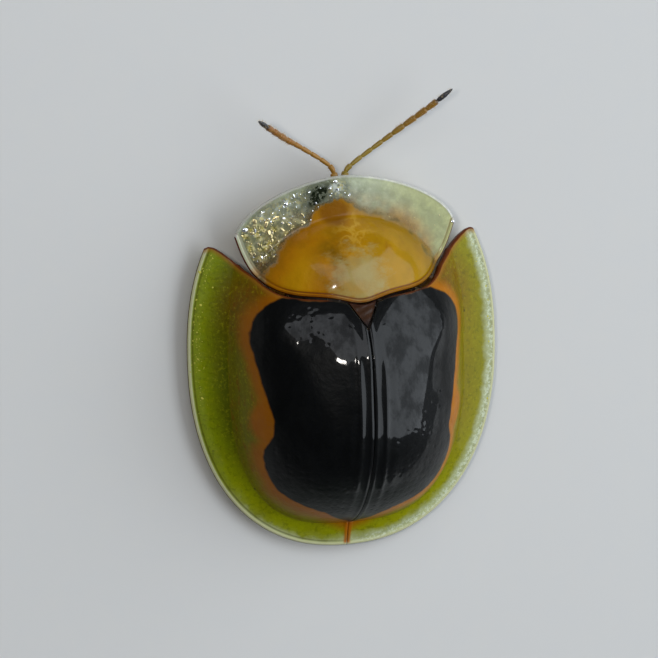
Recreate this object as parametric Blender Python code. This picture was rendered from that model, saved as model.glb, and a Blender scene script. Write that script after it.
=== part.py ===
# A tortoise beetle at life size, standing with its legs under the shield.
# The head points along -Y, the beetle's left side along +X, and the ground is z = 0.

import math

import bmesh
import bpy
from mathutils import Matrix, Vector

MM = 0.001  # sizes below are in millimetres, and each finished mesh is scaled to metres

# Driving sizes
BODY_LENGTH = 5.8  # front edge of the pronotum to the tip of the elytra
BODY_WIDTH = 4.86  # across the elytral margins
DOME_HEIGHT = 1.76  # summit of the elytra over the edge of the margin
EDGE_HEIGHT = 0.36  # edge of the elytral margin over the ground
BELLY_HEIGHT = 0.56  # middle of the underside over the ground
OVERALL_LENGTH = 7.03  # tip of the longer feeler to the tip of the elytra
SHELL = 0.10  # cuticle of the elytra and the pronotum
GAP = 0.03  # between any two pieces that meet
MERGE = 0.0005  # corners this close are one

# Places along the body are stations, measured forward from the tip of the elytra.
WIDEST_STATION = 3.1
FRONT_REACH = 3.0  # from the widest station to where the front of the oval would close
OVAL_POWER = 2.25
SUMMIT_STATION = 2.3
DISC_SHARE = 0.76  # half width of the raised disc over the half width of the margin
DISC_POWER = 0.6
DISC_TAIL = 0.40  # where the disc rises out of the margin at the rear
TAIL_POWER = 2.8  # how square the disc is at the rear
DISC_FALL = 2.8  # forward distance in which the disc would fall to nothing
DISC_FALL_POWER = 2.6
MARGIN_SLOPE = math.tan(math.radians(20))
FOOT_BLEND = 0.16  # how softly the disc runs into the margin
SWELLINGS = [  # low bumps of the elytra: (x, station, radius, height)
    (1.40, 3.62, 0.36, 0.13),  # shoulder
    (0.0, 3.30, 0.34, 0.05),  # behind the scutellum
    (1.52, 2.32, 0.22, 0.05),  # side fold
]

CORNER_X = BODY_WIDTH * 0.355  # side corner of the pronotum
CORNER_STATION = 4.95
FRONT_POWER = 1.7
REAR_POWER = 6.5
REAR_DEPTH = 0.86
LOBE_DEPTH = 0.11  # middle lobe of the hind edge, over the scutellum
LOBE_HALF = 0.34
COLLAR_HEIGHT = 0.28  # pronotal margin over the elytral margin
COLLAR_RISE = 0.05  # and how much more at the very front
HUMP_HALF = 1.5
HUMP_STATION = 4.0
HUMP_REACH = 1.22
HUMP_HEIGHT = 0.93
HUMP_POWER = 0.85
HUMP_BLEND = 0.06
COLLAR_CAMBER = 0.10  # rise of the flat margin from its rim to the middle

SCUTELLUM_TIP = 3.62
SCUTELLUM_HALF = 0.30
SEAM = 0.04  # between the hind edge of the pronotum and what lies behind it
COLLAR_END = 1.44  # the elytra follow the pronotum out to here
# Free front edge of an elytron, from there to its shoulder: (x, station)
FREE_EDGE = [(1.60, 4.46), (1.74, 4.60), (1.86, 4.70), (1.96, 4.77), (2.04, 4.79), (2.09, 4.765)]
SHOULDER_X, SHOULDER_STATION = FREE_EDGE[-1]

SIDES = {"left": 1, "right": -1}
THORAX = {"front": "prothorax", "mid": "mesothorax", "hind": "metathorax"}

COLOURS = {  # red, green, blue, roughness, metallic
    "disc_black": (0.012, 0.013, 0.014, 0.16, 0.0),
    "pronotum_amber": (0.55, 0.25, 0.02, 0.18, 0.0),
    "scutellum_brown": (0.20, 0.07, 0.02, 0.25, 0.0),
    "antenna_yellow": (0.42, 0.21, 0.04, 0.40, 0.0),
    "leg_yellow": (0.50, 0.27, 0.05, 0.38, 0.0),
    "eye_black": (0.01, 0.01, 0.012, 0.20, 0.0),
    "belly_dark": (0.03, 0.022, 0.016, 0.35, 0.0),
}


# Surfaces of the shield

def soft_max(a, b, blend):
    return 0.5 * (a + b + math.sqrt((a - b) ** 2 + blend ** 2) - blend)


def signed_power(base, power):
    return math.copysign(abs(base) ** power, base)


def oval_reach(station):
    return WIDEST_STATION if station < WIDEST_STATION else FRONT_REACH


def margin_half(station):
    along = min(1.0, abs(station - WIDEST_STATION) / oval_reach(station))
    return BODY_WIDTH / 2 * (1 - along ** OVAL_POWER) ** (1 / OVAL_POWER)


def from_edge(x, station):
    # Distance inward from the oval of the elytral margin, along the line to its middle
    dx = abs(x) / (BODY_WIDTH / 2)
    dy = abs(station - WIDEST_STATION) / oval_reach(station)
    level = (dx ** OVAL_POWER + dy ** OVAL_POWER) ** (1 / OVAL_POWER)
    if level < 0.01:
        return BODY_WIDTH / 2
    return (1 - level) / level * math.hypot(x, station - WIDEST_STATION)


def disc_half(station):
    if station > WIDEST_STATION:
        return DISC_SHARE * margin_half(station)
    along = min(1.0, (WIDEST_STATION - station) / (WIDEST_STATION - DISC_TAIL))
    return DISC_SHARE * BODY_WIDTH / 2 * (1 - along ** TAIL_POWER) ** (1 / TAIL_POWER)


def disc_level(x, station):
    # Positive on the raised disc, nought on its foot, negative outside it
    across = 1 - (abs(x) / max(0.05, disc_half(station))) ** 2
    if station >= SUMMIT_STATION:
        return across
    along = 1 - ((SUMMIT_STATION - station) / (SUMMIT_STATION - DISC_TAIL)) ** 2
    return across * along if min(across, along) > 0 else min(across, along)


def elytra_top(x, station):
    fall = 1.0
    if station > SUMMIT_STATION:
        fall -= min(1.0, ((station - SUMMIT_STATION) / DISC_FALL) ** DISC_FALL_POWER)
    disc = DOME_HEIGHT * fall * signed_power(max(-1.0, disc_level(x, station)), DISC_POWER)
    height = soft_max(disc, MARGIN_SLOPE * from_edge(x, station), FOOT_BLEND)
    for at_x, at_station, radius, rise in SWELLINGS:
        away = (abs(x) - at_x) ** 2 + (station - at_station) ** 2
        height += rise * math.exp(-away / radius ** 2)
    return EDGE_HEIGHT + height


def collar_front(x):
    share = min(1.0, abs(x) / CORNER_X)
    reach = BODY_LENGTH - CORNER_STATION
    return CORNER_STATION + reach * (1 - share ** FRONT_POWER) ** (1 / FRONT_POWER)


def collar_rear(x):
    share = min(1.0, abs(x) / CORNER_X)
    lobe = LOBE_DEPTH * math.exp(-((x / LOBE_HALF) ** 2))
    return CORNER_STATION - REAR_DEPTH * (1 - share ** REAR_POWER) - lobe


def hump_front(x):
    # Where the hump meets the flat margin, kept inside the margin near the corners
    rear, front = collar_rear(x), collar_front(x)
    edge = HUMP_STATION + HUMP_REACH * math.sqrt(max(0.0, 1 - (x / HUMP_HALF) ** 2))
    return max(edge, rear + 0.3 * (front - rear))


def collar_level(x, station):
    # 0 at the middle of the line between the corners, 1 on the front rim
    share = abs(x) / CORNER_X
    ahead = max(0.0, station - CORNER_STATION) / (BODY_LENGTH - CORNER_STATION)
    return (share ** FRONT_POWER + ahead ** FRONT_POWER) ** (1 / FRONT_POWER)


def pronotum_top(x, station):
    lift = COLLAR_RISE * (station - CORNER_STATION) / (BODY_LENGTH - CORNER_STATION)
    away = (x / HUMP_HALF) ** 2 + ((station - HUMP_STATION) / HUMP_REACH) ** 2
    hump = HUMP_HEIGHT * signed_power(1 - away, HUMP_POWER)
    camber = COLLAR_CAMBER * (1 - min(1.0, collar_level(x, station)) ** 2)
    return EDGE_HEIGHT + COLLAR_HEIGHT + lift + soft_max(hump, camber, HUMP_BLEND)


def underside(top, x, station, clearance=0.0):
    # The inner face keeps an even wall, so it stands deeper where the surface is steep
    step, steepest = 0.02, 2.2
    dx = (top(x + step, station) - top(x - step, station)) / (2 * step)
    dy = (top(x, station + step) - top(x, station - step)) / (2 * step)
    stretch = min(math.sqrt(1 + dx * dx + dy * dy), steepest)
    return top(x, station) - (SHELL + clearance) * stretch


def roof(x, station):
    # Highest that a piece of the trunk may reach under the shield
    spare, overlap = 1.5 * GAP, 0.15
    rear = collar_rear(x)
    heights = []
    if station < rear + overlap:
        heights.append(underside(elytra_top, x, station, spare))
    if station > rear - overlap:
        heights.append(underside(pronotum_top, x, max(station, rear), spare))
    return min(heights)


# Mesh tools

def place(x, station, z):
    return Vector((x, -station, z))


def spread(start, end, count):
    return [start + (end - start) * k / (count - 1) for k in range(count)]


def face_outward(bm):
    if bm.calc_volume(signed=True) < 0:
        bmesh.ops.reverse_faces(bm, faces=bm.faces[:])
    return bm


class Builder:
    # Gives the same vertex for the same place, so that rows may close to a point
    def __init__(self):
        self.bm = bmesh.new()
        self.known = {}

    def vertex(self, point):
        key = tuple(round(c, 6) for c in point)
        if key not in self.known:
            self.known[key] = self.bm.verts.new(point)
        return self.known[key]

    def face(self, points):
        corners = []
        for point in points:
            vertex = self.vertex(point)
            if vertex not in corners:
                corners.append(vertex)
        if len(corners) > 2:
            self.bm.faces.new(corners)


def plate(top, bottom):
    # A closed plate from two grids of points with the same rows and columns
    build = Builder()
    rows, columns = len(top), len(top[0])
    for i in range(rows - 1):
        for j in range(columns - 1):
            for grid, turn in ((top, 1), (bottom, -1)):
                a, b, c, d = grid[i][j], grid[i + 1][j], grid[i + 1][j + 1], grid[i][j + 1]
                build.face([a, b, c][::turn])
                build.face([a, c, d][::turn])
    ring = [(i, 0) for i in range(rows)]
    ring += [(rows - 1, j) for j in range(1, columns)]
    ring += [(i, columns - 1) for i in range(rows - 2, -1, -1)]
    ring += [(0, j) for j in range(columns - 2, 0, -1)]
    for (i, j), (m, n) in zip(ring, ring[1:] + ring[:1]):
        build.face([top[m][n], top[i][j], bottom[i][j], bottom[m][n]])
    return face_outward(build.bm)


def loft(rings):
    # A closed body through rings of the same count of points, with a fan at each end
    bm = bmesh.new()
    count = len(rings[0])
    made = [[bm.verts.new(p) for p in ring] for ring in rings]
    for lower, upper in zip(made, made[1:]):
        for k in range(count):
            after = (k + 1) % count
            bm.faces.new((lower[k], lower[after], upper[after], upper[k]))
    for ring, turn in ((made[0], -1), (made[-1], 1)):
        middle = bm.verts.new(sum((v.co for v in ring), Vector()) / count)
        for k in range(count):
            bm.faces.new([ring[k], ring[(k + 1) % count], middle][::turn])
    return face_outward(bm)


def along_path(points, count):
    # Evenly spaced places on a smooth curve through the given points
    padded = [2 * points[0] - points[1]] + points + [2 * points[-1] - points[-2]]
    fine = 12
    dense = []
    for a, b, c, d in zip(padded, padded[1:], padded[2:], padded[3:]):
        for k in range(fine):
            t = k / fine
            dense.append(0.5 * (2 * b + (c - a) * t + (2 * a - 5 * b + 4 * c - d) * t ** 2
                                + (3 * b - a - 3 * c + d) * t ** 3))
    dense.append(points[-1])
    return even_steps(dense, count)


def even_steps(line, count):
    reach = [0.0]
    for p, q in zip(line, line[1:]):
        reach.append(reach[-1] + (q - p).length)
    places, k = [], 0
    for goal in spread(0.0, reach[-1], count):
        while k < len(line) - 2 and reach[k + 1] < goal:
            k += 1
        share = (goal - reach[k]) / (reach[k + 1] - reach[k])
        places.append(line[k].lerp(line[k + 1], min(1.0, share)))
    return places


def sweep(path, sections, sides, swell=0.0):
    # A body along a curve; each section is (share of length, half width, half height)
    steps = 60
    places = along_path(path, steps + 1)
    rings = []
    for order, (share, half_width, half_height) in enumerate(sections):
        where = min(max(share, 0.0), 1.0) * steps
        k = min(int(where), steps - 1)
        centre = places[k].lerp(places[k + 1], where - k)
        ahead = (places[min(k + 2, steps)] - places[max(k - 1, 0)]).normalized()
        side = ahead.cross(Vector((0, 0, 1))).normalized()
        lift = side.cross(ahead).normalized()
        centre += ahead * swell * {0: -1, len(sections) - 1: 1}.get(order, 0)
        ring = []
        for i in range(sides):
            angle = 2 * math.pi * (i + 0.5) / sides
            ring.append(centre + side * ((half_width + swell) * math.cos(angle))
                        + lift * ((half_height + swell) * math.sin(angle)))
        rings.append(ring)
    return loft(rings)


def ellipsoid(centre, half, around=12, levels=6, turn=None):
    bm = bmesh.new()
    bmesh.ops.create_uvsphere(bm, u_segments=around, v_segments=levels, radius=1.0)
    spin = turn or Matrix.Identity(4)
    bm.transform(Matrix.Translation(centre) @ spin @ Matrix.Diagonal((*half, 1)))
    return face_outward(bm)


def scratch_object(bm, collection):
    mesh = bpy.data.meshes.new("scratch")
    bm.to_mesh(mesh)
    obj = bpy.data.objects.new("scratch", mesh)
    collection.objects.link(obj)
    return obj


def boolean(bm, others, operation):
    # Joins others to bm, or cuts them from it, in one step
    scene = bpy.context.scene.collection
    tools = bpy.data.collections.new("tools")
    scene.children.link(tools)
    body = scratch_object(bm, scene)
    helpers = [scratch_object(other, tools) for other in others]
    modifier = body.modifiers.new("join", "BOOLEAN")
    modifier.operation = operation
    modifier.operand_type = "COLLECTION"
    modifier.collection = tools
    bpy.context.view_layer.update()
    graph = bpy.context.evaluated_depsgraph_get()
    result = bmesh.new()
    result.from_mesh(body.evaluated_get(graph).to_mesh())
    for obj in [body] + helpers:
        bpy.data.objects.remove(obj)
    bpy.data.collections.remove(tools)
    return keep_largest(result)


def keep_largest(bm):
    # Drops loose scraps and the skins of sealed hollows
    bmesh.ops.remove_doubles(bm, verts=bm.verts[:], dist=MERGE)
    bmesh.ops.dissolve_degenerate(bm, edges=bm.edges[:], dist=MERGE)
    bmesh.ops.triangulate(bm, faces=bm.faces[:])
    left, best = set(bm.faces), set()
    while left:
        island, edge = set(), [left.pop()]
        while edge:
            face = edge.pop()
            island.add(face)
            near = {other for e in face.edges for other in e.link_faces} & left
            left -= near
            edge.extend(near)
        if len(island) > len(best):
            best = island
    bmesh.ops.delete(bm, geom=[f for f in bm.faces if f not in best], context="FACES")
    return bm


def clear_of(bm, tools):
    return boolean(bm, tools, "DIFFERENCE")


def joined(bm, others):
    return boolean(bm, others, "UNION")


def flattened(bm, level):
    # Cuts off all that would reach below the ground and closes the sole
    geometry = bm.verts[:] + bm.edges[:] + bm.faces[:]
    cut = bmesh.ops.bisect_plane(bm, geom=geometry, plane_co=(0, 0, level), dist=1e-5,
                                 plane_no=(0, 0, 1), clear_inner=True)
    edges = [e for e in cut["geom_cut"] if isinstance(e, bmesh.types.BMEdge)]
    bmesh.ops.holes_fill(bm, edges=edges)
    bmesh.ops.triangulate(bm, faces=bm.faces[:])
    return face_outward(bm)


def material(name):
    found = bpy.data.materials.get(name)
    if found:
        return found
    red, green, blue, roughness, metallic = COLOURS[name]
    made = bpy.data.materials.new(name)
    made.use_nodes = True
    shader = made.node_tree.nodes["Principled BSDF"]
    shader.inputs["Base Color"].default_value = (red, green, blue, 1)
    shader.inputs["Roughness"].default_value = roughness
    shader.inputs["Metallic"].default_value = metallic
    return made


def add_node(name, bm, look, root, parent):
    # One named piece, with its origin at its root
    mesh = bpy.data.meshes.new(name)
    bm.transform(Matrix.Scale(MM, 4) @ Matrix.Translation(-root))
    bm.to_mesh(mesh)
    mesh.materials.append(material(look))
    mesh.shade_smooth()
    mesh.set_sharp_from_angle(angle=math.radians(40))
    obj = bpy.data.objects.new(name, mesh)
    obj.location = root * MM
    obj.parent = parent
    bpy.context.scene.collection.objects.link(obj)


# Shield: elytra, scutellum and pronotum

ELYTRON_RAYS = 24
DISC_COLUMNS = 9
MARGIN_SHARES = (0.12, 0.3, 0.6, 1.0)  # columns from the foot of the disc to the edge
FAN_STATION = 1.1  # the rays start on the seam no further back than this
PRONOTUM_COLUMNS = 13  # from the middle to each corner
HUMP_ROWS = 9
COLLAR_SHARES = (0.15, 0.4, 0.7, 1.0)  # rows from the foot of the hump to the front rim


def base_edge(x):
    # Front edge of an elytron: beside the scutellum, behind the pronotum, then free
    if x < SCUTELLUM_HALF:
        base = collar_rear(SCUTELLUM_HALF) - SEAM
        return SCUTELLUM_TIP + (base - SCUTELLUM_TIP) * x / SCUTELLUM_HALF
    if x < COLLAR_END:
        return collar_rear(x) - SEAM
    corners = [(COLLAR_END, collar_rear(COLLAR_END) - SEAM)] + FREE_EDGE
    for (x0, s0), (x1, s1) in zip(corners, corners[1:]):
        if x <= x1:
            return s0 + (s1 - s0) * (x - x0) / (x1 - x0)
    return SHOULDER_STATION


def margin_walk(count):
    # Evenly spaced (x, station) on the outer edge, from the shoulder back to the tip
    fine = 200
    line = [place(margin_half(s), s, 0) for s in spread(SHOULDER_STATION, WIDEST_STATION, fine)]
    for angle in spread(0.0, math.pi / 2, 2 * fine)[1:]:
        station = WIDEST_STATION * (1 - math.sin(angle) ** (2 / OVAL_POWER))
        line.append(place(margin_half(station), station, 0))
    return [(p.x, -p.y) for p in even_steps(line, count)]


def elytron_ray(down, edge, share):
    # A place on the ray that runs from the seam to a point of the outer edge; the first
    # rays bend along the front edge of the elytron
    seam = SCUTELLUM_TIP + (FAN_STATION - SCUTELLUM_TIP) * down
    edge_x, edge_station = edge
    chord = SCUTELLUM_TIP + (SHOULDER_STATION - SCUTELLUM_TIP) * share
    bend = (1 - down) ** 4 * (base_edge(share * SHOULDER_X) - chord)
    station = seam + (edge_station - seam) * share + bend
    x = GAP / 2 + max(0.0, edge_x - GAP / 2) * share
    return x, max(0.0, station)


def elytron_plan():
    # Rays of (x, station), each with its columns gathered towards the foot of the disc
    notch = SCUTELLUM_HALF / SHOULDER_X
    rays = []
    for k, edge in enumerate(margin_walk(ELYTRON_RAYS)):
        down = k / (ELYTRON_RAYS - 1)
        foot = 0.5
        while foot < 0.95 and disc_level(*elytron_ray(down, edge, foot)) > 0:
            foot += 0.005
        shares = [0.0, notch / 2, notch]
        inner = [math.sin(math.pi / 2 * t) for t in spread(0.0, 1.0, DISC_COLUMNS)[1:]]
        shares += [notch + (foot - notch) * t for t in inner]
        shares += [foot + (1 - foot) * t for t in MARGIN_SHARES]
        rays.append([elytron_ray(down, edge, share) for share in shares])
    return rays


def elytron(side):
    top, bottom = [], []
    for ray in elytron_plan():
        top.append([place(side * x, s, elytra_top(x, s)) for x, s in ray])
        bottom.append([place(side * x, s, underside(elytra_top, x, s)) for x, s in ray])
    return plate(top, bottom)


def scutellum():
    clear, sunk, crown = 1.4 * GAP, 0.02, 0.05
    tip = SCUTELLUM_TIP + 2.2 * clear
    top, bottom = [], []
    for down in spread(0.0, 1.0, 6):
        half = max(0.0, SCUTELLUM_HALF * (1 - down) - clear)
        row = []
        for x in spread(-half, half, 7):
            base = collar_rear(x) - SEAM
            station = base + (tip - base) * down
            height = elytra_top(0, station) - crown * (x / SCUTELLUM_HALF) ** 2 - sunk
            row.append(place(x, station, height))
        top.append(row)
        bottom.append([p - Vector((0, 0, 0.8 * SHELL)) for p in row])
    return plate(top, bottom)


def pronotum():
    top, bottom = [], []
    for k in range(-PRONOTUM_COLUMNS, PRONOTUM_COLUMNS + 1):
        x = CORNER_X * math.sin(math.pi / 2 * k / PRONOTUM_COLUMNS)
        rear, middle, front = collar_rear(x), hump_front(x), collar_front(x)
        rises = [math.sin(math.pi / 2 * t) for t in spread(0, 1, HUMP_ROWS)]
        stations = [rear + (middle - rear) * rise for rise in rises]
        stations += [middle + (front - middle) * t for t in COLLAR_SHARES]
        top.append([place(x, s, pronotum_top(x, s)) for s in stations])
        bottom.append([place(x, s, underside(pronotum_top, x, s)) for s in stations])
    return plate(top, bottom)


# Trunk: the underside of the thorax and the abdomen

PRO_REAR, PRO_FRONT = 4.11, 5.02
MESO_REAR, META_REAR = 3.62, 2.62
ABDOMEN_TIP = 0.62
PLATE_EDGES = (2.02, 1.68, 1.36, 1.04)  # hind edges of the belly plates
PLATE_STEP, PLATE_OVERLAP = 0.035, 0.02
TRUNK_STEPS = 4  # points from the middle of the trunk to its side
PRO_REAR_HALF, PRO_FRONT_HALF = 0.98, 0.56  # half widths of the prothorax
NARROW_STATION = 4.0  # forward of here the trunk is as narrow as the prothorax
TRUNK_HALF = 1.56  # half width of the abdomen where it is widest
TRUNK_WIDEST = WIDEST_STATION - 0.05
TRUNK_REACH = 2.48  # from the widest station back to where the abdomen closes
TRUNK_FRONT_POWER, TRUNK_SIDE_POWER = 2.4, 2.2
WAIST_STATION = 3.3  # forward of here the trunk narrows again towards the prothorax
WAIST_FALL, WAIST_POWER = 0.55, 1.4
BELLY_ROUND = 0.09  # rise of the underside at its side, per unit of half width
NECK_DIP = 0.16  # how far the underside drops towards the head
LEAST_DEPTH = 0.06


def trunk_half(station):
    if station > NARROW_STATION:
        share = max(0.0, station - PRO_REAR) / (PRO_FRONT - PRO_REAR)
        return PRO_REAR_HALF + (PRO_FRONT_HALF - PRO_REAR_HALF) * share
    along = max(0.0, TRUNK_WIDEST - station) / TRUNK_REACH
    half = TRUNK_HALF * (1 - along ** TRUNK_FRONT_POWER) ** (1 / TRUNK_SIDE_POWER)
    return half - WAIST_FALL * max(0.0, station - WAIST_STATION) ** WAIST_POWER


def trunk_ring(station, lift, swell, shift):
    # Up to the shield on top, gently rounded below; a swollen ring reaches that much further
    half = trunk_half(station)
    upper, lower = [], []
    for k in range(-TRUNK_STEPS, TRUNK_STEPS + 1):
        share = math.sin(math.pi / 2 * k / TRUNK_STEPS)
        z = roof(half * share, station)
        curve = BELLY_ROUND * half * share ** 2
        belly = min(BELLY_HEIGHT + curve + lift, z - LEAST_DEPTH)
        x = (half + swell) * share
        upper.append(place(x, station + shift, z + swell))
        lower.append(place(x, station + shift, belly - swell))
    return upper + lower[::-1]


def trunk_body(stations, swell=0.0):
    rings = []
    for k, (station, lift) in enumerate(stations):
        shift = 0.0
        if k == 0:
            shift = math.copysign(swell, station - stations[1][0])
        elif k == len(stations) - 1:
            shift = math.copysign(swell, station - stations[k - 1][0])
        rings.append(trunk_ring(station, lift, swell, shift))
    return loft(rings)


COXAE = {  # (x, station, z) and half sizes
    "front": ((0.27, 4.50, 0.52), (0.20, 0.17, 0.15)),
    "mid": ((0.46, 3.86, 0.53), (0.24, 0.17, 0.15)),
    "hind": ((0.58, 2.80, 0.54), (0.42, 0.15, 0.15)),
}
KEELS = {  # the raised middle of each underside: (station, z) and half sizes
    "front": ((4.40, 0.53), (0.13, 0.25, 0.08)),
    "mid": ((3.84, 0.56), (0.16, 0.16, 0.05)),
    "hind": ((3.10, 0.57), (0.55, 0.42, 0.05)),
}


def coxae(which, swell=0.0):
    (x, station, z), half = COXAE[which]
    size = [h + swell for h in half]
    return [ellipsoid(place(side * x, station, z), size) for side in (1, -1)]


def keel(which, swell=0.0):
    (station, z), half = KEELS[which]
    return ellipsoid(place(0, station, z), [h + swell for h in half], 14, 6)


def thorax_stations(which):
    if which == "front":
        run = PRO_FRONT - PRO_REAR
        stations = spread(PRO_REAR + GAP / 2, PRO_FRONT, 7)
        return [(s, -NECK_DIP * ((s - PRO_REAR) / run) ** 2) for s in stations]
    if which == "mid":
        return [(s, 0.0) for s in spread(MESO_REAR + GAP / 2, PRO_REAR - GAP / 2, 5)]
    return [(s, -0.02) for s in spread(META_REAR + GAP / 2, MESO_REAR - GAP / 2, 6)]


def thorax(which):
    return joined(trunk_body(thorax_stations(which)), coxae(which) + [keel(which)])


def thorax_clearance(which):
    body = trunk_body(thorax_stations(which), GAP)
    return [body, keel(which, GAP)] + coxae(which, GAP)


def abdomen_stations():
    # Five plates, each a low step over the next one back
    step, overlap = PLATE_STEP, PLATE_OVERLAP
    edges = [META_REAR - GAP / 2, *PLATE_EDGES, ABDOMEN_TIP]
    stations = []
    for k, (near, far) in enumerate(zip(edges, edges[1:])):
        stations.append((near - overlap * (k > 0), 0.0))
        stations.append(((near + far) / 2, 0.4 * step))
        stations.append((far + overlap * (k < len(edges) - 2), step))
    return stations


# Head

HEAD_SIDES = 16
HEAD_SECTIONS = [  # station, half width, half height, height of the middle
    (5.05, 0.28, 0.15, 0.45), (5.12, 0.36, 0.18, 0.40), (5.25, 0.42, 0.19, 0.335),
    (5.38, 0.41, 0.19, 0.325), (5.48, 0.33, 0.17, 0.32), (5.56, 0.21, 0.12, 0.33),
    (5.60, 0.10, 0.06, 0.335),
]
EYE_CENTRE, EYE_HALF = (0.375, 5.42, 0.36), (0.13, 0.16, 0.14)
FACE_PLATES = [  # raised plates of the face: (x, station, z), half sizes
    ((0.0, 5.53, 0.25), (0.16, 0.09, 0.10)),
    ((0.105, 5.56, 0.385), (0.075, 0.045, 0.07)),
]
MOUTH_BASE = ((0.0, 5.40, 0.145), (0.17, 0.12, 0.07))
UPPER_LIP = ((0.0, 5.47, 0.125), (0.12, 0.07, 0.05))
JAW = [(0.11, 5.42, 0.13), (0.10, 5.48, 0.09), (0.03, 5.51, 0.065)]
JAW_SECTIONS = [(0, .045, .04), (.5, .035, .035), (1, .01, .01)]
PALP = [(0.12, 5.37, 0.12), (0.19, 5.40, 0.08), (0.20, 5.48, 0.06)]
PALP_SECTIONS = [(0, .03, .03), (.3, .032, .032), (.36, .022, .022), (.42, .034, .034),
                 (.65, .036, .036), (.72, .022, .022), (.8, .034, .034), (1, .012, .012)]


def capsule(swell=0.0):
    rings = []
    for k, (station, half_width, half_height, z) in enumerate(HEAD_SECTIONS):
        shift = {0: -swell, len(HEAD_SECTIONS) - 1: swell}.get(k, 0.0)
        ring = []
        for i in range(HEAD_SIDES):
            angle = 2 * math.pi * (i + 0.5) / HEAD_SIDES
            ring.append(place((half_width + swell) * math.cos(angle), station + shift,
                              z + (half_height + swell) * math.sin(angle)))
        rings.append(ring)
    return loft(rings)


def face_plates(swell=0.0):
    plates = []
    for (x, station, z), half in FACE_PLATES:
        for side in ((1, -1) if x else (1,)):
            size = [h + swell for h in half]
            plates.append(ellipsoid(place(side * x, station, z), size, 10, 6))
    return plates


def head_clearance():
    return [capsule(GAP)] + face_plates(GAP)


def eye(side):
    x, station, z = EYE_CENTRE
    return clear_of(ellipsoid(place(side * x, station, z), EYE_HALF, 14, 9), [capsule(GAP)])


def mouthparts():
    # Upper lip, two jaws and two palps on one base under the front of the head
    base, lip = [ellipsoid(place(*centre), half, 10, 6) for centre, half in (MOUTH_BASE, UPPER_LIP)]
    pieces = [lip]
    for side in (1, -1):
        for path, sections in ((JAW, JAW_SECTIONS), (PALP, PALP_SECTIONS)):
            points = [place(side * x, station, z) for x, station, z in path]
            pieces.append(sweep(points, sections, 6))
    return clear_of(joined(base, pieces), head_clearance())


# Antennae: eleven segments on a curve from the brow to the tip

SEGMENTS = [  # length, half thickness
    (0.27, 0.058), (0.13, 0.042), (0.21, 0.036), (0.20, 0.036), (0.20, 0.038),
    (0.19, 0.040), (0.22, 0.046), (0.22, 0.048), (0.21, 0.049), (0.21, 0.048),
    (0.31, 0.046),
]
LENGTHS = {"scape": (0, 2), "flagellum": (2, 6), "club": (6, 11)}  # first and last segment
# Swell of a segment: (share of its length, share of its thickness)
SEGMENT_SHAPE = [(0.04, 0.55), (0.22, 0.82), (0.6, 0.97), (0.86, 1.0), (0.97, 0.66)]
TIP_SHAPE = [(0.04, 0.55), (0.2, 0.9), (0.5, 1.0), (0.75, 0.8), (0.92, 0.42), (1.0, 0.12)]
ANTENNA_PATHS = {  # (x, station, z) from the brow: the left one raised, the right one lower
    "left": [(0.10, 5.54, 0.40), (0.09, 5.79, 0.37), (0.20, 5.95, 0.37), (0.62, 6.24, 0.51),
             (0.93, 6.46, 0.72), (1.22, 6.68, 0.98), (1.52, 6.90, 1.28)],
    "right": [(-0.10, 5.54, 0.40), (-0.09, 5.77, 0.36), (-0.21, 5.91, 0.35),
              (-0.60, 6.18, 0.38), (-1.05, 6.50, 0.48), (-1.41, 6.77, 0.60),
              (-1.71, 7.02, 0.72)],
}


def antenna_length(side, first, last):
    total = sum(length for length, _ in SEGMENTS)
    before = sum(length for length, _ in SEGMENTS[:first])
    sections = []
    for k in range(first, last):
        length, half = SEGMENTS[k]
        shape = TIP_SHAPE if k == len(SEGMENTS) - 1 else SEGMENT_SHAPE
        for along, share in shape:
            sections.append(((before + along * length) / total, half * share, half * share))
        before += length
    trim = GAP / 2 / total
    if first > 0:
        sections[0] = (sections[0][0] + trim, *sections[0][1:])
    if last < len(SEGMENTS):
        sections[-1] = (sections[-1][0] - trim, *sections[-1][1:])
    return sweep([place(*p) for p in ANTENNA_PATHS[side]], sections, 8)


# Legs

LEGS = {  # hip, knee, ankle and a point that the foot aims at, as (x, station, z)
    "front": [(0.34, 4.50, 0.42), (1.26, 4.42, 0.44), (1.17, 5.02, 0.14), (0.86, 5.36, 0.08)],
    "mid": [(0.58, 3.86, 0.42), (1.62, 4.02, 0.44), (1.92, 3.38, 0.14), (2.03, 2.98, 0.08)],
    "hind": [(0.84, 2.78, 0.42), (1.66, 2.32, 0.44), (1.62, 1.62, 0.14), (1.48, 1.22, 0.08)],
}
# Sections along a limb: (share of length, half width, half height)
FEMUR = [(0, .07, .06), (.08, .10, .085), (.15, .085, .075), (.3, .13, .10), (.5, .155, .11),
         (.7, .14, .10), (.88, .10, .085), (.97, .075, .065), (1, .045, .04)]
TIBIA = [(0, .04, .04), (.03, .062, .055), (.12, .058, .052), (.3, .07, .056), (.6, .085, .062),
         (.85, .10, .068), (.96, .105, .07), (1, .06, .05)]
TIBIA_BOW = 0.03
TARSUS_STEM = [(0, .05, .05), (.5, .06, .05), (1, .07, .055)]
CLAW_JOINT = [(0, .02, .02), (.5, .026, .024), (.9, .036, .03), (1, .02, .02)]
CLAW = [(0, .022, .022), (.5, .018, .018), (1, .006, .006)]
# Places on a foot: distance ahead of its start, sideways, and height
FOOT_START = -0.03  # from the ankle
STEM_PATH = [(0.05, 0, 0.10), (0.13, 0, 0.07)]
CLAW_JOINT_PATH = [(0.28, 0, 0.085), (0.42, 0, 0.098), (0.525, 0, 0.088)]
CLAW_PATH = [(0.50, 0.016, 0.085), (0.56, 0.045, 0.08), (0.60, 0.065, 0.05)]
PADS = [((0.10, 0, 0.058), (0.095, 0.085, 0.07)), ((0.22, 0, 0.052), (0.085, 0.11, 0.065))]
LOBE = ((0.34, 0.072, 0.045), (0.115, 0.07, 0.06))


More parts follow.
